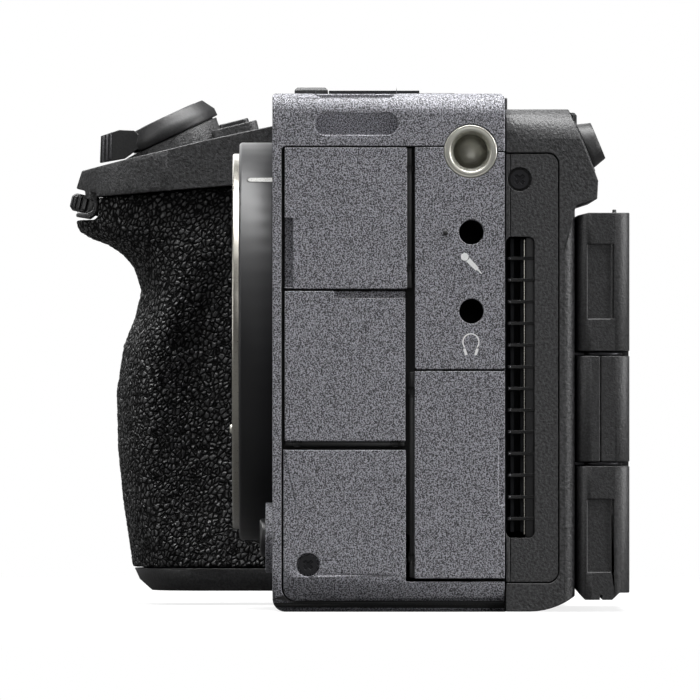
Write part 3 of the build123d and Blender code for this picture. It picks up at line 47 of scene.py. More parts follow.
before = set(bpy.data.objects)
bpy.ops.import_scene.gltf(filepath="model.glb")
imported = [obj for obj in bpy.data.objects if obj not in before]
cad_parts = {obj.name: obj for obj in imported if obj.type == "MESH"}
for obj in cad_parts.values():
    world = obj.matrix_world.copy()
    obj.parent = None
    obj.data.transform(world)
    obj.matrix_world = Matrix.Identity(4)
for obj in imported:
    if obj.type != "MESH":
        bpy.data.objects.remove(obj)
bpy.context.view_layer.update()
MM = 0.001
SIDE_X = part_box("side_casing")[1].x
MOUNT_CENTRE = Vector((20.5, 0, 40.6)) * MM

# Edge work: closer points are welded, flatter edges are dissolved and sharper ones are rounded
WELD_DISTANCE = 0.002 * MM
FLAT_ANGLE = math.radians(0.3)
SHARP_ANGLE = math.radians(32)

# Radius of the rounded edges, by kind of piece
ROUNDING = {
    "casting": 0.2 * MM,
    "panel": 0.16 * MM,
    "plate": 0.14 * MM,
    "monitor": 0.12 * MM,
    "moulding": 0.1 * MM,
    "button": 0.18 * MM,
    "ring": 0.28 * MM,
    "rest": 0.3 * MM,
    "fine": 0.06 * MM,
    "screen": 0.05 * MM,
    "none": 0,
}

# Sockets of a Mix node that mixes colours
SHARE, FIRST, SECOND, MIXED = 0, 6, 7, 2


def linear(hex_colour):
    """An sRGB hex colour as linear red, green and blue."""
    channels = [int(hex_colour[i:i + 2], 16) / 255 for i in (1, 3, 5)]
    return tuple(c / 12.92 if c <= 0.04045 else ((c + 0.055) / 1.055) ** 2.4 for c in channels)


# Properties a user would change

def colour_property(name, description, hex_colour):
    return FloatVectorProperty(name=name, description=description, subtype="COLOR", size=3, min=0, max=1,
                               default=linear(hex_colour))


def length_property(name, description, millimetres):
    return FloatProperty(name=name, description=description, default=millimetres * MM, min=0, unit="LENGTH",
                         precision=5)


class CameraColours(bpy.types.PropertyGroup):
    """Base colours of the camera's finishes."""

    paint_dark: colour_property("Paint, dark", "Dark pigment between the flakes of the grey paint", "#1f1f22")
    paint_light: colour_property("Paint, light", "Light flakes of the grey paint", "#98989f")
    black_paint: colour_property("Black paint", "Grained black paint of the rear and grip top", "#272728")
    moulded: colour_property("Moulded black", "Black plastic of the monitor and caps", "#222223")
    rubber: colour_property("Grip rubber", "Pebbled elastomer of the grip", "#2c2c2d")
    anodised: colour_property("Anodised black", "Black anodised lens mount", "#121214")
    steel: colour_property("Steel", "Turned stainless steel", "#c6c5bc")
    print_white: colour_property("Print", "White ink of the signs", "#dcdcdc")


class CameraSizes(bpy.types.PropertyGroup):
    """Sizes of the camera's fine work."""

    paint_grain: length_property("Paint grain", "Size of a flake in the grey paint", 0.2)
    black_grain: length_property("Black grain", "Size of a grain in the black paint", 0.42)
    pebble: length_property("Pebble", "Size of a pebble of the grip rubber", 1.0)
    pebble_depth: length_property("Pebble depth", "Depth of the furrows between pebbles", 0.2)
    print_height: length_property("Print height", "Thickness of the printed ink", 0.012)
    thread_pitch: length_property("Thread pitch", "Pitch of a quarter inch thread", 1.27)
    lever_ribs: IntProperty(name="Lever ribs", description="Ribs on the zoom lever's tab", default=3, min=1)


# Materials

def node(tree, kind, inputs=None, **settings):
    """Add a node, set its properties, and give its inputs values or links."""
    made = tree.nodes.new(kind)
    for name, value in settings.items():
        setattr(made, name, value)
    for key, value in (inputs or {}).items():
        if isinstance(value, bpy.types.NodeSocket):
            tree.links.new(value, made.inputs[key])
        else:
            made.inputs[key].default_value = value
    return made


def new_material(name):
    """An empty node material: its tree, its shader and its object coordinates."""
    material = bpy.data.materials.new(name)
    material.use_nodes = True
    tree = material.node_tree
    shader = tree.nodes["Principled BSDF"]
    place = node(tree, "ShaderNodeTexCoord").outputs["Object"]
    return material, tree, shader, place


def link_bump(tree, shader, height, depth):
    """Bump the shader by a height from 0 to 1, times a depth in metres."""
    bump = node(tree, "ShaderNodeBump", {"Height": height, "Strength": 1.0, "Distance": depth})
    tree.links.new(bump.outputs["Normal"], shader.inputs["Normal"])


def grainy_paint(name, dark, light, grain, roughness, bump_depth, low=0.34, high=0.66):
    """Paint with a visible grain: flakes of light pigment in dark, raised a little, and uneven gloss."""
    cloud, gloss_change = 7 * MM, 0.06
    material, tree, shader, place = new_material(name)
    fine = node(tree, "ShaderNodeTexNoise",
                {"Vector": place, "Scale": 1 / grain, "Detail": 2.0, "Roughness": 0.62})
    share = node(tree, "ShaderNodeMapRange",
                 {"Value": fine.outputs["Fac"], "From Min": low, "From Max": high})
    mixed = node(tree, "ShaderNodeMix",
                 {SHARE: share.outputs["Result"], FIRST: (*dark, 1), SECOND: (*light, 1)},
                 data_type="RGBA")
    tree.links.new(mixed.outputs[MIXED], shader.inputs["Base Color"])
    cloudy = node(tree, "ShaderNodeTexNoise", {"Vector": place, "Scale": 1 / cloud, "Detail": 3.0})
    gloss = node(tree, "ShaderNodeMapRange",
                 {"Value": cloudy.outputs["Fac"], "To Min": roughness - gloss_change,
                  "To Max": roughness + gloss_change})
    tree.links.new(gloss.outputs["Result"], shader.inputs["Roughness"])
    shader.inputs["IOR"].default_value = 1.5
    link_bump(tree, shader, fine.outputs["Fac"], bump_depth)
    return material


def speckled_grey_paint():
    """Textured polyurethane paint on die-cast magnesium: a salt and pepper grain that glitters a little."""
    colours = bpy.context.scene.camera_colours
    sizes = bpy.context.scene.camera_sizes
    return grainy_paint("polyurethane_paint_grey", colours.paint_dark, colours.paint_light, sizes.paint_grain,
                        0.55, 0.09 * MM, 0.42, 0.6)


def grained_black_paint():
    """Textured black paint on magnesium: soft sheen, with small grains that catch the light."""
    colours = bpy.context.scene.camera_colours
    sizes = bpy.context.scene.camera_sizes
    dark = tuple(c * 0.3 for c in colours.black_paint)
    light = tuple(min(1, c * 2.0 + 0.006) for c in colours.black_paint)
    return grainy_paint("polyurethane_paint_black", dark, light, sizes.black_grain, 0.5, 0.12 * MM, 0.32, 0.7)


def moulded_black_plastic():
    """Polycarbonate moulded in a spark-eroded tool: matte black with an even grain.

    The grain is drawn coarser than a real one, so that it shows.
    """
    colours = bpy.context.scene.camera_colours
    dark = tuple(c * 0.5 for c in colours.moulded)
    light = tuple(c * 1.7 + 0.003 for c in colours.moulded)
    return grainy_paint("polycarbonate_moulded_black", dark, light, 0.34 * MM, 0.5, 0.08 * MM, 0.36, 0.7)


def satin_black_plastic():
    """Polycarbonate from a polished tool: satin black buttons and dials with faint gloss changes."""
    return grainy_paint("polycarbonate_satin_black", linear("#1c1c1d"), linear("#242426"), 0.25 * MM,
                        0.36, 0.008 * MM)


def deep_black_plastic():
    """Glass-filled nylon, moulded and lightly etched: deep black levers and dials with a soft shine."""
    return grainy_paint("nylon_moulded_black", linear("#0c0c0d"), linear("#19191a"), 0.3 * MM,
                        0.5, 0.02 * MM)


def ribs_painted_highlight():
    """Nylon ribs in a satin painted paler than the lever round them, as a painted highlight where they face
    the light.
    """
    return grainy_paint("nylon_ribs_painted_highlight", linear("#343436"), linear("#4c4c4e"), 0.25 * MM,
                        0.42, 0.01 * MM)


def anodised_black():
    """Turned aluminium, bead blasted and anodised black: a smooth satin with long soft gradients."""
    colours = bpy.context.scene.camera_colours
    light = tuple(c * 1.2 for c in colours.anodised)
    return grainy_paint("aluminium_anodised_black", tuple(colours.anodised), light, 0.2 * MM,
                        0.47, 0.01 * MM)


def turned_steel():
    """Stainless steel turned on a lathe: bright, with fine rings round its axis from the tool.

    The rings are drawn coarser than a real tool's, so that they show.
    """
    ring_spacing, smudge_size = 0.11 * MM, 2.5 * MM
    colours = bpy.context.scene.camera_colours
    material, tree, shader, place = new_material("stainless_steel_turned")
    shader.inputs["Base Color"].default_value = (*colours.steel, 1)
    shader.inputs["Metallic"].default_value = 1.0
    radius = node(tree, "ShaderNodeAttribute", attribute_name="turned").outputs["Fac"]
    rings = node(tree, "ShaderNodeTexNoise", {"W": radius, "Scale": 1 / ring_spacing, "Detail": 1.0},
                 noise_dimensions="1D")
    smudge = node(tree, "ShaderNodeTexNoise", {"Vector": place, "Scale": 1 / smudge_size, "Detail": 3.0})
    gloss = node(tree, "ShaderNodeMapRange",
                 {"Value": smudge.outputs["Fac"], "To Min": 0.32, "To Max": 0.46})
    tree.links.new(gloss.outputs["Result"], shader.inputs["Roughness"])
    link_bump(tree, shader, rings.outputs["Fac"], 0.022 * MM)
    return material


def blasted_metal(name, colour, roughness):
    """Metal with a fine blasted or etched surface, uneven in gloss.

    The grit is drawn coarser than a real one, so that it shows.
    """
    grit, gloss_change = 0.15 * MM, 0.08
    material, tree, shader, place = new_material(name)
    shader.inputs["Base Color"].default_value = (*colour, 1)
    shader.inputs["Metallic"].default_value = 1.0
    fine = node(tree, "ShaderNodeTexNoise", {"Vector": place, "Scale": 1 / grit, "Detail": 2.0})
    gloss = node(tree, "ShaderNodeMapRange",
                 {"Value": fine.outputs["Fac"], "To Min": roughness - gloss_change,
                  "To Max": roughness + gloss_change})
    tree.links.new(gloss.outputs["Result"], shader.inputs["Roughness"])
    link_bump(tree, shader, fine.outputs["Fac"], 0.006 * MM)
    return material


def pebbled_rubber():
    """Elastomer moulded against a leather grain: furrows painted darker as painted shade, and pebbles with a
    slight shine.

    Two sizes of pebble add up: the mesh's own relief, kept in its "pebble" attribute, and finer cells,
    slanted and a little taller than wide.
    """
    cell, slant, tallness = 0.68 * MM, -0.55, 1.35
    cell_share, wear, skin_grain = 0.45, 0.3, 0.3 * MM
    colours = bpy.context.scene.camera_colours
    material, tree, shader, place = new_material("elastomer_moulded_pebbled")
    relief = node(tree, "ShaderNodeAttribute", attribute_name="pebble").outputs["Fac"]
    slanted = node(tree, "ShaderNodeMapping",
                   {"Vector": place, "Rotation": (slant, 0, 0), "Scale": (1, 1, tallness)},
                   vector_type="TEXTURE")
    cells = node(tree, "ShaderNodeTexVoronoi", {"Vector": slanted.outputs[0], "Scale": 1 / cell},
                 feature="DISTANCE_TO_EDGE")
    tops = node(tree, "ShaderNodeMapRange", {"Value": cells.outputs["Distance"], "From Max": 0.3},
                interpolation_type="SMOOTHSTEP")
    both = node(tree, "ShaderNodeMath", {0: relief, 1: cell_share, 2: tops.outputs["Result"]},
                operation="MULTIPLY_ADD")
    # Painted shade: the furrows are coloured far darker than the rubber, down to 0.12 of it, and only the
    # pebble tops keep its colour
    dark = tuple(c * 0.12 for c in colours.rubber)
    share = node(tree, "ShaderNodeMapRange",
                 {"Value": both.outputs[0], "From Min": 0.35, "From Max": 1.25})
    tint = node(tree, "ShaderNodeMix",
                {SHARE: share.outputs["Result"], FIRST: (*dark, 1), SECOND: (*colours.rubber, 1)},
                data_type="RGBA")
    tree.links.new(tint.outputs[MIXED], shader.inputs["Base Color"])
    fine = node(tree, "ShaderNodeTexNoise", {"Vector": place, "Scale": 1 / skin_grain, "Detail": 3.0})
    worn = node(tree, "ShaderNodeMath", {0: fine.outputs["Fac"], 1: wear, 2: share.outputs["Result"]},
                operation="MULTIPLY_ADD")
    gloss = node(tree, "ShaderNodeMapRange",
                 {"Value": worn.outputs[0], "From Max": 1.3, "To Min": 0.85, "To Max": 0.3})
    tree.links.new(gloss.outputs["Result"], shader.inputs["Roughness"])
    # Painted shade too: the furrows reflect less than the pebble tops
    shine = node(tree, "ShaderNodeMapRange",
                 {"Value": share.outputs["Result"], "To Min": 0.1, "To Max": 0.85})
    tree.links.new(shine.outputs["Result"], shader.inputs["Specular IOR Level"])
    link_bump(tree, shader, both.outputs[0], 0.32 * MM)
    return material


def black_rubber_and_painted_shade():
    """Black silicone of the seals: very dark and dull, with faint talc in its skin. The same black is laid on
    the hinge strips, the vent's seat, the recess walls, a pocket wall and round the index mark as painted
    shade.
    """
    return grainy_paint("silicone_seal_black_and_painted_shade", linear("#0c0c0d"), linear("#161617"), 0.3 * MM,
                        0.75, 0.01 * MM)


def ring_steel():
    """Stainless steel, ground and passivated, of the mount's ring: grey, with a clear broad shine."""
    return blasted_metal("stainless_steel_ground", linear("#a5a29a"), 0.3)


def slats_painted_shade():
    """Black anodised slats, painted darker than their anodising as painted shade, matte, so that the vent
    reads as one dark window.
    """
    return grainy_paint("aluminium_slats_painted_shade", linear("#050506"), linear("#0b0b0c"), 0.3 * MM,
                        0.7, 0.01 * MM)


def nickel_painted_highlight():
    """Bright nickel plate on brass: warm grey and clear, with light cloudy stains. Laid along the vent
    divider's edge, it stands for that edge's highlight, as a painted highlight.
    """
    return blasted_metal("brass_nickel_painted_highlight", linear("#c9c6bd"), 0.26)


def gold_plate():
    """Hard gold plate on bronze contacts: yellow metal with a fine satin from its tumbling."""
    return blasted_metal("bronze_gold_plated", linear("#d9b15e"), 0.3)


def silver_enamel():
    """Silver enamel filled into an engraved mark: a pale satin with fine flake in it."""
    return grainy_paint("enamel_silver_filled", linear("#6c6c6a"), linear("#979793"), 0.2 * MM,
                        0.4, 0.01 * MM)


def screen_ink(colour):
    """Screen-printed epoxy ink: matte, with pinholes where it lies over the paint's grain."""
    return grainy_paint("epoxy_ink_white", tuple(c * 0.8 for c in colour), colour, 0.25 * MM,
                        0.6, 0.01 * MM, 0.25, 0.45)


def clear_material(name, colour, roughness, transmission=1.0):
    """Clear or tinted glass, with a faint change of gloss as from wiping."""
    wipe, gloss_change = 9 * MM, 0.05
    material, tree, shader, place = new_material(name)
    shader.inputs["Base Color"].default_value = (*colour, 1)
    shader.inputs["Transmission Weight"].default_value = transmission
    wiped = node(tree, "ShaderNodeTexNoise", {"Vector": place, "Scale": 1 / wipe, "Detail": 4.0})
    gloss = node(tree, "ShaderNodeMapRange",
                 {"Value": wiped.outputs["Fac"], "To Min": roughness, "To Max": roughness + gloss_change})
    tree.links.new(gloss.outputs["Result"], shader.inputs["Roughness"])
    return material


def red_plastic():
    """Dyed red acrylic of a signal lens: glossy, deep and faintly clouded."""
    return clear_material("acrylic_dyed_red", linear("#7a1412"), 0.12, 0.35)


def solder_mask():
    """Glass fibre board under green solder mask: glossy, with copper tracks showing as paler lines."""
    material, tree, shader, place = new_material("glass_fibre_solder_mask")
    tracks = node(tree, "ShaderNodeTexBrick",
                  {"Vector": place, "Color1": (*linear("#0d3d28"), 1), "Color2": (*linear("#0f452d"), 1),
                   "Mortar": (*linear("#1c6b45"), 1), "Scale": 1 / (3 * MM), "Mortar Size": 0.03})
    tree.links.new(tracks.outputs["Color"], shader.inputs["Base Color"])
    shader.inputs["Roughness"].default_value = 0.3
    return material


def sensor_array():
    """Silicon image sensor: dark, glossy, and tinted green and violet by its layered filters."""
    material, tree, shader, place = new_material("silicon_filter_array")
    bands = node(tree, "ShaderNodeTexNoise", {"Vector": place, "Scale": 1 / (14 * MM), "Detail": 1.0})
    tint = node(tree, "ShaderNodeMix",
                {SHARE: bands.outputs["Fac"], FIRST: (*linear("#15202b"), 1),
                 SECOND: (*linear("#2b1c33"), 1)}, data_type="RGBA")
    tree.links.new(tint.outputs[MIXED], shader.inputs["Base Color"])
    shader.inputs["Metallic"].default_value = 0.6
    shader.inputs["Roughness"].default_value = 0.18
    return material


_made = {}


def material_of(maker, *arguments):
    """One shared material for each maker and its arguments."""
    key = (maker.__name__, *arguments)
    if key not in _made:
        _made[key] = maker(*arguments)
    return _made[key]


# Mesh helpers

def finished(name, mesh, material, body, replaced=(), smooth=True):
    """Turn a bmesh into a piece that rides on a body."""
    bmesh.ops.recalc_face_normals(mesh, faces=mesh.faces)
    data = bpy.data.meshes.new(name)
    mesh.to_mesh(data)
    mesh.free()
    for face in data.polygons:
        face.use_smooth = smooth
    piece = bpy.data.objects.new(name, data)
    bpy.context.scene.collection.objects.link(piece)
    data.materials.append(material)
    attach(piece, body)
    if replaced:
        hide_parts(*replaced)
    return piece


def join_bmesh(target, other, matrix=None):
    """Add another bmesh to the target, moved by a matrix, and free it."""
    if matrix is not None:
        other.transform(matrix)
    data = bpy.data.meshes.new("joining")
    other.to_mesh(data)
    other.free()
    target.from_mesh(data)
    bpy.data.meshes.remove(data)


def axis_matrix(origin, direction):
    """A matrix that takes +Z to a direction and the origin to a point."""
    turned = Vector(direction).to_track_quat("Z", "Y").to_matrix().to_4x4()
    return Matrix.Translation(Vector(origin)) @ turned


def lathe(profile, steps):
    """Spin a profile of (radius, height) points round Z; a radius of 0 closes the end."""
    made = bmesh.new()
    points = [made.verts.new((radius, 0, height)) for radius, height in profile]
    edges = [made.edges.new(pair) for pair in zip(points[:-1], points[1:])]
    bmesh.ops.spin(made, geom=points + edges, cent=(0, 0, 0), axis=(0, 0, 1), angle=2 * math.pi,
                   steps=steps, use_merge=True)
    bmesh.ops.remove_doubles(made, verts=made.verts, dist=1e-7)
    return made


def extruded(outline, low, high):
    """A prism along X from an outline of (Y, Z) points, from one X to another."""
    made = bmesh.new()
    near = [made.verts.new((low, y, z)) for y, z in outline]
    far = [made.verts.new((high, y, z)) for y, z in outline]
    made.faces.new(near)
    made.faces.new(far)
    for index in range(len(outline)):
        following = (index + 1) % len(outline)
        made.faces.new((near[index], near[following], far[following], far[index]))
    return made


def millimetres(points):
    """Points given in millimetres, in metres."""
    return [tuple(value * MM for value in point) for point in points]


def rounded(mesh, radius, segments):
    """Round every edge of a bmesh."""
    bmesh.ops.bevel(mesh, geom=mesh.edges, offset=radius, offset_type="OFFSET", segments=segments,
                    profile=0.5, affect="EDGES", material=-1, clamp_overlap=True)
    return mesh


def rounded_block(low, high, radius, segments=2):
    """A box between two corners with its edges rounded."""
    made = bmesh.new()
    bmesh.ops.create_cube(made, size=1.0)
    low, high = Vector(low), Vector(high)
    bmesh.ops.scale(made, vec=high - low, verts=made.verts)
    bmesh.ops.translate(made, vec=(low + high) / 2, verts=made.verts)
    return rounded(made, radius, segments)


def round_edges(name, width):
    """Merge a frame node's loose triangles and round its sharp edges, by modifiers.

    The bevel isn't clamped, because the clamp leaves nearly sharp edges. Unclamped, it throws a few stray
    points off the back of the side casing's slot, at widths from 0.12 to 0.25 mm.
    """
    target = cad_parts[name]
    weld = target.modifiers.new("weld", "WELD")
    weld.merge_threshold = WELD_DISTANCE
    flat = target.modifiers.new("flat", "DECIMATE")
    flat.decimate_type = "DISSOLVE"
    flat.angle_limit = FLAT_ANGLE
    flat.delimit = {"MATERIAL"}
    bevel = target.modifiers.new("round", "BEVEL")
    bevel.width = width
    bevel.segments = 2
    bevel.limit_method = "ANGLE"
    bevel.angle_limit = SHARP_ANGLE
    bevel.harden_normals = True
    bevel.miter_outer = "MITER_ARC"
    bevel.use_clamp_overlap = False


def paint_nodes(material, names, width):
    """Give frame nodes one material, and rounded edges where the width isn't 0."""
    for name in names:
        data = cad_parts[name].data
        data.materials.clear()
        data.materials.append(material)
        if width:
            round_edges(name, width)


def tint_faces(name, material, low, high, facing):
    """Give a node's faces between two corners another material: all, or only those that face one way."""
    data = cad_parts[name].data
    data.materials.append(material)
    index = len(data.materials) - 1
    low, high = Vector(low) * MM, Vector(high) * MM
    for face in data.polygons:
        inside = all(low[i] <= face.center[i] <= high[i] for i in range(3))
        if inside and (facing is None or face.normal.dot(Vector(facing)) > 0.6):
            face.material_index = index


# Operators

class FrameFinishes(bpy.types.Operator):
    """Paint every node of the frame, and round its edges"""

    bl_idname = "camera.frame_finishes"
    bl_label = "Frame finishes"

    def execute(self, context):
        self.paint()
        self.tint()
        return {"FINISHED"}

    def paint(self):
        """One finish and one rounding for each node."""
        grey = material_of(speckled_grey_paint)
        black = material_of(grained_black_paint)
        plastic = material_of(moulded_black_plastic)
        satin = material_of(satin_black_plastic)
        deep = material_of(deep_black_plastic)
        steel = material_of(turned_steel)
        oxide = material_of(blasted_metal, "steel_black_oxide", linear("#39393b"), 0.42)
        alloy = material_of(blasted_metal, "aluminium_blasted", linear("#a4a6a8"), 0.45)
        dark_alloy = material_of(blasted_metal, "aluminium_anodised_dark", linear("#2c2d2f"), 0.45)
        filter_glass = material_of(clear_material, "filter_glass_coated", linear("#bfe0d8"), 0.02)
        cover_glass = material_of(clear_material, "cover_glass_black", linear("#08080a"), 0.04, 0.0)
        for material, kind, names in (
                (grey, "casting", ("side_casing", "front_casing", "top_cover")),
                (grey, "panel", ("jack_panel", "lower_side_panel", "upper_port_door", "video_door",
                                 "lower_port_door")),
                (black, "panel", ("rear_casing", "grip_top_shell")),
                (black, "plate", ("bottom_plate", "card_door", "battery_door")),
                (black, "fine", ("vent_cover",)),
                (plastic, "monitor", ("monitor_case", "monitor_arm")),
                (plastic, "moulding", ("grip_base_cap", "tally_lamp", "battery_chamber", "battery",
                                       "card_slots", "fan_housing", "fan_rotor", "lens_contacts")),
                (material_of(black_rubber_and_painted_shade), "none", ("audio_jacks",)),
                (satin, "button", ("iso_button", "white_balance_button", "iris_button", "menu_button",
                                   "function_button", "playback_button", "centre_button",
                                   "record_button", "lens_release_button", "joystick",
                                   "joystick_gimbal")),
                (deep, "moulding", ("zoom_lever", "power_switch", "control_wheel", "front_dial",
                                    "rear_dial")),
                (material_of(anodised_black), "casting", ("mount_barrel",)),
                (steel, "moulding", ("lens_lock_pin", "tripod_insert")),
                (material_of(ring_steel), "ring", ("mount_ring",)),
                (steel, "none", ("thread_inserts",)),
                (alloy, "none", ("chassis_frame", "monitor_shaft", "data_sockets", "video_socket")),
                (dark_alloy, "none", ("heat_sink",)),
                (oxide, "fine", ("case_screws", "accessory_shoe", "monitor_hinge_fork")),
                (material_of(solder_mask), "none", ("main_board",)),
                (black, "moulding", ("sensor_unit",)),
                (filter_glass, "none", ("sensor_glass",)),
                (cover_glass, "screen", ("monitor_screen",)),
                (material_of(pebbled_rubber), "none", ("grip_cover",)),
                (black, "rest", ("thumb_rest",))):
            paint_nodes(material, names, ROUNDING[kind])

    def tint(self):
        """Black faces of painted nodes: all that lie between two corners, in millimetres. Except for the
        floor of the door recess, this black is painted shade in seams, grooves and gaps and under a lip.
        """
        rubber = material_of(black_rubber_and_painted_shade)
        for name, material, low, high, facing in (
                # The recess behind the doors, whose floor is black and whose grey walls are painted black as
                # painted shade in the seams; the seat of the vent, painted darker as painted shade in the
                # gaps round its cover; and the vent's slats, painted near black as painted shade
                ("side_casing", rubber, (62.9, -9.8, 0.0), (64.6, 23.8, 69.9), None),
                ("rear_casing", rubber, (60.0, 23.8, 4.0), (64.0, 32.2, 69.2), None),
                # The slats' near black is painted shade in the vent
                ("vent_cover", material_of(slats_painted_shade), (61.0, 24.0, 11.0), (64.4, 28.4, 56.5), None),
                # The hinge bar of each door, painted black as painted shade in the groove it lies in
                ("video_door", rubber, (60.0, -12.0, 20.0), (66.0, 12.0, 25.62), None),
                ("upper_port_door", rubber, (60.0, 9.12, 40.0), (66.0, 12.0, 75.0), None),
                ("lower_port_door", rubber, (60.0, 8.0, 0.0), (66.0, 10.33, 40.0), None),
                # A wall of the finger pocket that looks up, painted black as painted shade under the pocket's
                # lip
                ("video_door", rubber, (60.0, -3.0, 46.9), (64.8, 9.2, 47.4), (0, 0, 1))):
            tint_faces(name, material, low, high, facing)


def even_copy(name, voxel):
    """A node's mesh made again from even small faces, relaxed so that its edges are soft."""
    made = bmesh.new()
    made.from_mesh(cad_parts[name].data)
    bmesh.ops.remove_doubles(made, verts=made.verts, dist=WELD_DISTANCE)
    data = bpy.data.meshes.new("even")
    made.to_mesh(data)
    made.free()
    holder = bpy.data.objects.new("even", data)
    bpy.context.scene.collection.objects.link(holder)
    remesh = holder.modifiers.new("even", "REMESH")
    remesh.mode = "VOXEL"
    remesh.voxel_size = voxel
    relax = holder.modifiers.new("relax", "SMOOTH")
    relax.factor = 0.5
    relax.iterations = 2
    graph = bpy.context.evaluated_depsgraph_get()
    even = bpy.data.meshes.new_from_object(holder.evaluated_get(graph))
    bpy.data.objects.remove(holder)
    bpy.data.meshes.remove(data)
    made = bmesh.new()
    made.from_mesh(even)
    bpy.data.meshes.remove(even)
    return made


class GripRubber(bpy.types.Operator):
    """Build the grip's pebbled rubber cover over its solid"""

    bl_idname = "camera.grip_rubber"
    bl_label = "Grip rubber"

    def execute(self, context):
        voxel, least_faces = 0.4 * MM, 1000
        bend, bend_size = 0.55, 0.4
        furrow, steepness, dome, mean_height = 0.42, 0.7, 0.3, 0.85
        sizes = context.scene.camera_sizes
        # Without a seed of its own the noise starts from the clock, and the pebbles change with each run
        noise.seed_set(1)
        made = even_copy("grip_cover", voxel)
        if len(made.faces) < least_faces:
            raise RuntimeError("the grip's cover came out empty")
        bmesh.ops.recalc_face_normals(made, faces=made.faces)
        made.normal_update()
        heights = []
        moved = []
        for vertex in made.verts:
            place = vertex.co / sizes.pebble
            bent = place + noise.noise_vector(place * bend_size) * bend
            near = noise.voronoi(bent)[0]
            height = min(1.0, (near[1] - near[0]) / furrow) ** steepness * (1 - dome * near[0])
            heights.append(height)
            moved.append(vertex.co + vertex.normal * sizes.pebble_depth * (height - mean_height))
        for vertex, place in zip(made.verts, moved):
            vertex.co = place
        cover = finished("grip_pebbled_rubber", made, material_of(pebbled_rubber), "body",
                         ("grip_cover",))
        layer = cover.data.attributes.new("pebble", "FLOAT", "POINT")
        layer.data.foreach_set("value", heights)
        return {"FINISHED"}


class ThreadSleeves(bpy.types.Operator):
    """Turn the threaded sleeves of the side and the top, with their threads and drilled ends"""

    bl_idname = "camera.thread_sleeves"
    bl_label = "Thread sleeves"

    def execute(self, context):
        pitch = context.scene.camera_sizes.thread_pitch / MM
        radius, chamfer_radius, length = 3.98, 3.9, 8.2
        crest, root = 2.56, 2.95
        first_turn, last_turn, bore_end, drill_tip = 0.9, 6.3, 6.0, 6.6
        side_face, deck_top, turning_steps = 64.85, 77.5, 72
        profile = [(0, -length), (chamfer_radius, -length), (radius, -8.1), (radius, -0.12),
                   (chamfer_radius, -0.02), (3.72, 0.0), (3.66, -0.03), (3.6, 0.0), (3.16, 0.0),
                   (3.07, -0.05), (3.0, -0.2), (2.62, -0.75)]
        depth = first_turn
        while depth + pitch < last_turn:
            profile += [(crest, -depth), (crest, -depth - 0.15 * pitch), (root, -depth - 0.5 * pitch),
                        (root, -depth - 0.6 * pitch)]
            depth += pitch
        profile += [(crest, -depth), (crest, -bore_end), (0, -drill_tip)]
        profile = millimetres(profile)
        sleeves = bmesh.new()
        places = [((side_face, 18.69, 69.1), (1, 0, 0))]
        places += [((x, y, deck_top), (0, 0, 1)) for x, y in ((41, -4), (41, 16.5), (-14, -4))]
        for place, outward in places:
            join_bmesh(sleeves, lathe(profile, turning_steps), axis_matrix(Vector(place) * MM, outward))
        piece = finished("threaded_sleeves", sleeves, material_of(turned_steel), "body",
                         ("thread_inserts",))
        layer = piece.data.attributes.new("turned", "FLOAT", "POINT")
        for vertex, value in zip(piece.data.vertices, layer.data):
            value.value = min(abs(axis_distance(vertex.co, Vector(place) * MM, outward))
                              for place, outward in places)
        return {"FINISHED"}


def axis_distance(point, origin, direction):
    """How far a point is from a line."""
    offset = point - origin
    return (offset - Vector(direction) * offset.dot(Vector(direction))).length


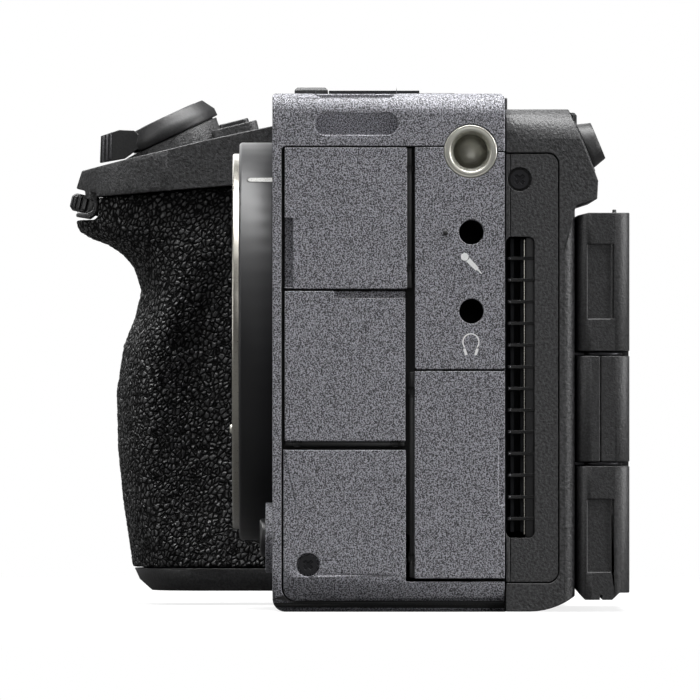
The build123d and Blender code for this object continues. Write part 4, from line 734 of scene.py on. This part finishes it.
class MountDetails(bpy.types.Operator):
    """Fit the mount's index mark, its gold contacts and the image sensor"""

    bl_idname = "camera.mount_details"
    bl_label = "Mount details"

    def execute(self, context):
        self.index_mark(math.radians(53.9))
        self.contacts()
        self.sensor()
        return {"FINISHED"}

    def contacts(self):
        """Twelve sprung pins on an arc at the foot of the throat."""
        count, first, sweep, arc_radius = 12, 251.5, 37, 23.3
        shape = [(0, -0.2), (0.62, -0.2), (0.62, 0.12), (0.5, 0.3), (0.25, 0.38), (0, 0.4)]
        contacts = bmesh.new()
        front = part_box("lens_contacts")[0].y
        for step in range(count):
            angle = math.radians(first + step * sweep / (count - 1))
            place = MOUNT_CENTRE + Vector((math.cos(angle), 0, math.sin(angle))) * arc_radius * MM
            pin = lathe(millimetres(shape), 24)
            join_bmesh(contacts, pin, axis_matrix((place.x, front, place.z), (0, -1, 0)))
        finished("gold_contacts", contacts, material_of(gold_plate), "body")

    def sensor(self):
        """The sensor's light-sensitive area, behind its filter glass."""
        half_width, half_height, thickness, gap = 17.8 * MM, 11.9 * MM, 0.4 * MM, 0.05 * MM
        centre = MOUNT_CENTRE
        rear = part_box("sensor_glass")[1].y + gap
        array = rounded_block((centre.x - half_width, rear, centre.z - half_height),
                              (centre.x + half_width, rear + thickness, centre.z + half_height),
                              0.05 * MM)
        finished("image_sensor", array, material_of(sensor_array), "body", smooth=False)

    def index_mark(self, middle):
        """A silver filled mark with a round front end, set into the barrel's side, in a black rim that is
        painted shade round its edge.
        """
        barrel, sunk = 30.2 * MM, 0.1 * MM
        front, rear, half = -14.35 * MM, -11.1 * MM, 0.5 * MM
        outline = [(rear, -half), (rear, half)]
        outline += [(front - math.sin(step * math.pi / 8) * half, math.cos(step * math.pi / 8) * half)
                    for step in range(9)]
        # A black rim a little wider than the mark: painted shade round its edge
        painted_shade_rim = ("index_mark_painted_shade", 0.16 * MM, 0.015 * MM, material_of(black_rubber_and_painted_shade))
        filling = ("index_mark", 0.0, 0.05 * MM, material_of(silver_enamel))
        for name, grow, height, material in (painted_shade_rim, filling):
            mark = bmesh.new()
            sides = []
            for radius in (barrel - sunk, barrel + height):
                ring = []
                for y, across in outline:
                    wide = across * (1 + grow / half)
                    angle = middle + wide / barrel
                    forward = y - grow if y < rear else y
                    ring.append(mark.verts.new((MOUNT_CENTRE.x + radius * math.cos(angle), forward,
                                                MOUNT_CENTRE.z + radius * math.sin(angle))))
                sides.append(ring)
            for ring in sides:
                mark.faces.new(ring)
            for index in range(len(outline)):
                following = (index + 1) % len(outline)
                mark.faces.new((sides[0][index], sides[0][following], sides[1][following],
                                sides[1][index]))
            finished(name, mark, material, "body", smooth=False)


class LeverDetails(bpy.types.Operator):
    """Rib the zoom lever's tab and ring the record button in red"""

    bl_idname = "camera.lever_details"
    bl_label = "Lever details"

    def execute(self, context):
        tilt = math.radians(25.0)
        centre = Vector((-46.0, -26.3, 72.57)) * MM
        along = Vector((0, math.cos(tilt), math.sin(tilt)))
        upward = Vector((0, -math.sin(tilt), math.cos(tilt)))
        first, spacing, lower, half_width, edge = 0.3, 0.62, 0.05, 3.78 * MM, 0.07 * MM
        ribs = bmesh.new()
        for step in range(context.scene.camera_sizes.lever_ribs):
            shift = first + spacing * step
            corners = [(-12.46 + shift, 0.98), (-10.64 + shift, 4.7 - lower * step),
                       (-10.34 + shift, 4.66 - lower * step), (-12.16 + shift, 0.9)]
            outline = []
            for a, u in corners:
                place = centre + along * a * MM + upward * u * MM
                outline.append((place.y, place.z))
            rib = extruded(outline, centre.x - half_width, centre.x + half_width)
            join_bmesh(ribs, rounded(rib, edge, 2))
        # The ribs' paler colour is a painted highlight
        finished("lever_ribs", ribs, material_of(ribs_painted_highlight), "zoom")

        inner, outer, height, sunk = 1.75, 2.45, 0.02, -0.2
        top = centre + upward * 3.3 * MM
        ring = lathe(millimetres([(inner, sunk), (inner, 0.0), (1.85, height), (2.35, height),
                                  (outer, 0.0), (outer, sunk), (inner, sunk)]), 48)
        ring.transform(axis_matrix(top, upward))
        finished("record_ring", ring, material_of(red_plastic), "record")
        return {"FINISHED"}


class VentDetails(bpy.types.Operator):
    """Fit the divider, a bright strip on its edge as a painted highlight, and the pins behind the vent's
    slats
    """

    bl_idname = "camera.vent_details"
    bl_label = "Vent details"

    def execute(self, context):
        inner_x, outer_x = 62.93, 63.3
        divider = rounded_block(Vector((inner_x, 26.95, 11.15)) * MM, Vector((outer_x, 28.25, 56.25)) * MM,
                                0.12 * MM, 3)
        finished("vent_divider", divider, material_of(satin_black_plastic), "body")
        # A bright metal strip along the divider's edge: a painted highlight for the edge's shine
        strip = rounded_block(Vector((inner_x, 26.68, 11.6)) * MM, Vector((outer_x, 26.86, 55.9)) * MM,
                              0.05 * MM)
        finished("vent_edge_painted_highlight", strip, material_of(nickel_painted_highlight), "body")
        pin_shape = [(0, -0.6), (0.17, -0.6), (0.17, -0.05), (0.1, 0.02), (0, 0.04)]
        pin_count, first_height, spacing = 13, 13.98, 3.256
        pins = bmesh.new()
        for step in range(pin_count):
            foot = Vector((63.4, 24.6, first_height + spacing * step)) * MM
            join_bmesh(pins, lathe(millimetres(pin_shape), 16), axis_matrix(foot, (1, 0, 0)))
        finished("vent_pins", pins, material_of(speckled_grey_paint), "body")
        return {"FINISHED"}


def printed(name, flat):
    """Print a flat shape, drawn in (Y, Z), on the port side."""
    bmesh.ops.translate(flat, vec=(SIDE_X, 0, 0), verts=flat.verts)
    ink = material_of(screen_ink, tuple(bpy.context.scene.camera_colours.print_white))
    finished(name, flat, ink, "body", smooth=False)


# The photograph's scale on the port side, its middle column and the row of the floor, in pixels
MM_PER_PIXEL = 0.15
MIDDLE_COLUMN = 350
FLOOR_ROW = 612
MIDDLE_Y = 0.6


def at_pixel(x, y):
    """A place in the photograph's pixels as (Y, Z) on the port side."""
    return (MIDDLE_Y + (x - MIDDLE_COLUMN) * MM_PER_PIXEL) * MM, (FLOOR_ROW - y) * MM_PER_PIXEL * MM


class PrintedSigns(bpy.types.Operator):
    """Print the microphone and headphone signs, and fit the raised dot"""

    bl_idname = "camera.printed_signs"
    bl_label = "Printed signs"

    def execute(self, context):
        height = context.scene.camera_sizes.print_height
        self.microphone(height)
        self.headphones(height)
        self.raised_dot()
        return {"FINISHED"}

    def microphone(self, height):
        """A round head, a tapered handle and a short lead."""
        head_pixel, head_radius = (464.75, 256.8), 0.58 * MM
        handle_pixels = ((466.3, 261.4), (469.8, 258.0), (478.8, 267.8), (475.9, 270.7))
        lead_pixels = ((476.5, 269.2), (477.7, 268.2), (482.0, 273.4), (481.3, 274.1))
        middle = Vector(at_pixel(*head_pixel))
        sign = extruded([(middle.x + math.cos(step * math.pi / 16) * head_radius,
                          middle.y + math.sin(step * math.pi / 16) * head_radius)
                         for step in range(32)], 0, height)
        for pixels in (handle_pixels, lead_pixels):
            join_bmesh(sign, extruded([at_pixel(*pixel) for pixel in pixels], 0, height))
        printed("microphone_sign", sign)

    def headphones(self, height):
        """An open band with a slanted cup at each end."""
        middle = Vector(at_pixel(470.9, 342.0))
        outer, inner, tallness = 1.3 * MM, 1.11 * MM, 1.02
        angles = [math.radians(-40 + step * 260 / 28) for step in range(29)]
        outline = [(middle.x + radius * math.cos(angle), middle.y + radius * math.sin(angle) * tallness)
                   for radius, order in ((outer, angles), (inner, reversed(angles))) for angle in order]
        sign = extruded(outline, 0, height)
        cup_shape = ((1.14, -1.0), (0.75, -1.0), (0.52, -1.92), (0.85, -2.0), (1.1, -1.3))
        for side in (-1, 1):
            cup = [(side * x * MM + middle.x, middle.y + z * MM) for x, z in cup_shape]
            join_bmesh(sign, extruded(cup, 0, height))
        printed("headphone_sign", sign)

    def raised_dot(self):
        """A small domed dot beside the upper jack hole, to be felt."""
        dot_y, dot_z = 14.95 * MM, 56.9 * MM
        dot = lathe([(0.42 * MM, -0.01 * MM), (0.42 * MM, 0.12 * MM), (0.34 * MM, 0.27 * MM),
                     (0.18 * MM, 0.36 * MM), (0, 0.38 * MM)], 24)
        dot.transform(axis_matrix((SIDE_X, dot_y, dot_z), (1, 0, 0)))
        finished("touch_dot", dot, material_of(satin_black_plastic), "body")


class Stage(bpy.types.Operator):
    """Set the pale floor, the soft lights and the camera at the photograph's angle"""

    bl_idname = "camera.stage"
    bl_label = "Stage"

    def execute(self, context):
        scene = context.scene
        self.floor(scene)
        white_world(scene)
        self.lamps(scene)
        self.camera(scene)
        scene.view_settings.view_transform = "Standard"
        return {"FINISHED"}

    def floor(self, scene):
        """A wide flat floor under the object."""
        half_width = 40
        grid = bmesh.new()
        bmesh.ops.create_grid(grid, x_segments=1, y_segments=1, size=half_width)
        data = bpy.data.meshes.new("floor")
        grid.to_mesh(data)
        grid.free()
        floor = bpy.data.objects.new("floor", data)
        scene.collection.objects.link(floor)
        data.materials.append(white_floor())

    def camera(self, scene):
        """A long lens, level and square to the port side."""
        view = bpy.data.cameras.new("view")
        view.lens = 1200
        view.sensor_width = 36
        view.clip_start = 0.1
        view.clip_end = 100
        camera = bpy.data.objects.new("view", view)
        scene.collection.objects.link(camera)
        camera.location = (3.565, 0.0006, 0.0393)
        camera.rotation_euler = (math.radians(90), 0, math.radians(90))
        scene.camera = camera

    def lamps(self, scene):
        """Soft boxes over the object, before and behind it, and on its port and grip sides."""
        aim = Vector((0, 0, 0.04))
        # Place, width and height in metres, and watts
        boxes = {
            "overhead": ((0.08, 0.0, 0.95), 1.1, 0.5, 30.0),
            "front_top": ((0.55, -0.1, 1.0), 1.3, 0.6, 3.0),
            "port_side": ((2.2, -0.2, 0.9), 1.0, 0.7, 2.6),
            "front_fill": ((3.0, 0.25, 0.45), 0.5, 0.5, 1.2),
            "lens_side": ((0.35, -1.6, 0.32), 0.8, 1.2, 9.0),
            "rear_side": ((0.4, 1.2, 0.4), 0.6, 0.9, 20.0),
            "grip_side": ((-1.4, -0.4, 0.7), 0.9, 0.9, 8.0),
        }
        for name, (place, width, height, power) in boxes.items():
            light = bpy.data.lights.new(name, "AREA")
            light.shape = "RECTANGLE"
            light.size = width
            light.size_y = height
            light.energy = power
            lamp = bpy.data.objects.new(name, light)
            scene.collection.objects.link(lamp)
            lamp.location = place
            lamp.rotation_euler = (Vector(place) - aim).to_track_quat("Z", "Y").to_euler()


def white_floor():
    """Matte white acrylic floor: plain white far off, and lit near the object so its soft shadow shows."""
    bounce, pale = 0.08, 0.86
    near, far, near_share = 0.1, 0.5, 0.82
    material, tree, shader, place = new_material("acrylic_floor_white")
    fine = node(tree, "ShaderNodeTexNoise", {"Vector": place, "Scale": 1 / (4 * MM), "Detail": 2.0})
    gloss = node(tree, "ShaderNodeMapRange",
                 {"Value": fine.outputs["Fac"], "To Min": 0.85, "To Max": 0.95})
    tree.links.new(gloss.outputs["Result"], shader.inputs["Roughness"])
    rays = node(tree, "ShaderNodeLightPath")
    tint = node(tree, "ShaderNodeMix",
                {SHARE: rays.outputs["Is Camera Ray"], FIRST: (bounce, bounce, bounce, 1),
                 SECOND: (pale, pale, pale, 1)}, data_type="RGBA")
    tree.links.new(tint.outputs[MIXED], shader.inputs["Base Color"])
    shader.inputs["Specular IOR Level"].default_value = 0.0
    white = node(tree, "ShaderNodeEmission", {"Color": (1, 1, 1, 1), "Strength": 1.0})
    reach = node(tree, "ShaderNodeVectorMath", {0: place}, operation="LENGTH")
    plain = node(tree, "ShaderNodeMapRange",
                 {"Value": reach.outputs["Value"], "From Min": near, "From Max": far,
                  "To Min": near_share, "To Max": 1.0}, interpolation_type="SMOOTHSTEP")
    seen = camera_or_glass(tree, rays)
    share = node(tree, "ShaderNodeMath", {0: seen, 1: plain.outputs["Result"]}, operation="MULTIPLY")
    mixed = node(tree, "ShaderNodeMixShader",
                 {0: share.outputs[0], 1: shader.outputs[0], 2: white.outputs[0]})
    tree.links.new(mixed.outputs[0], tree.nodes["Material Output"].inputs["Surface"])
    return material


def camera_or_glass(tree, rays):
    """1 for rays from the camera or through glass, and 0 for the others."""
    return node(tree, "ShaderNodeMath",
                {0: rays.outputs["Is Camera Ray"], 1: rays.outputs["Is Transmission Ray"]},
                operation="MAXIMUM").outputs[0]


def white_world(scene):
    """A white surround for what the camera and glass see, weaker in metal, weakest as light."""
    lighting, mirrored = 0.035, 0.17
    world = bpy.data.worlds.new("surround")
    world.use_nodes = True
    scene.world = world
    tree = world.node_tree
    tree.nodes.clear()
    rays = node(tree, "ShaderNodeLightPath")
    seen = camera_or_glass(tree, rays)
    level = node(tree, "ShaderNodeMapRange",
                 {"Value": rays.outputs["Is Glossy Ray"], "To Min": lighting, "To Max": mirrored})
    plain = node(tree, "ShaderNodeBackground",
                 {"Color": (1, 1, 1, 1), "Strength": level.outputs["Result"]})
    white = node(tree, "ShaderNodeBackground", {"Color": (1, 1, 1, 1), "Strength": 1.0})
    mixed = node(tree, "ShaderNodeMixShader", {0: seen, 1: plain.outputs[0], 2: white.outputs[0]})
    output = node(tree, "ShaderNodeOutputWorld")
    tree.links.new(mixed.outputs[0], output.inputs["Surface"])


class CameraPanel(bpy.types.Panel):
    """The camera's operators, in the sidebar"""

    bl_idname = "VIEW3D_PT_camera_looks"
    bl_label = "Cinema camera"
    bl_space_type = "VIEW_3D"
    bl_region_type = "UI"
    bl_category = "Camera"

    def draw(self, context):
        for group in (context.scene.camera_sizes, context.scene.camera_colours):
            for name in group.__annotations__:
                self.layout.prop(group, name)
        for operator in OPERATORS:
            self.layout.operator(operator.bl_idname)


OPERATORS = (FrameFinishes, GripRubber, ThreadSleeves, MountDetails, LeverDetails, VentDetails,
             PrintedSigns, Stage)
CLASSES = (CameraColours, CameraSizes, *OPERATORS, CameraPanel)


def register():
    for made in CLASSES:
        bpy.utils.register_class(made)
    bpy.types.Scene.camera_colours = PointerProperty(type=CameraColours)
    bpy.types.Scene.camera_sizes = PointerProperty(type=CameraSizes)


def unregister():
    del bpy.types.Scene.camera_sizes
    del bpy.types.Scene.camera_colours
    for made in reversed(CLASSES):
        bpy.utils.unregister_class(made)


def main():
    register()
    bpy.ops.camera.frame_finishes()
    bpy.ops.camera.grip_rubber()
    bpy.ops.camera.thread_sleeves()
    bpy.ops.camera.mount_details()
    bpy.ops.camera.lever_details()
    bpy.ops.camera.vent_details()
    bpy.ops.camera.printed_signs()
    bpy.ops.camera.stage()


if __name__ == "__main__":
    main()
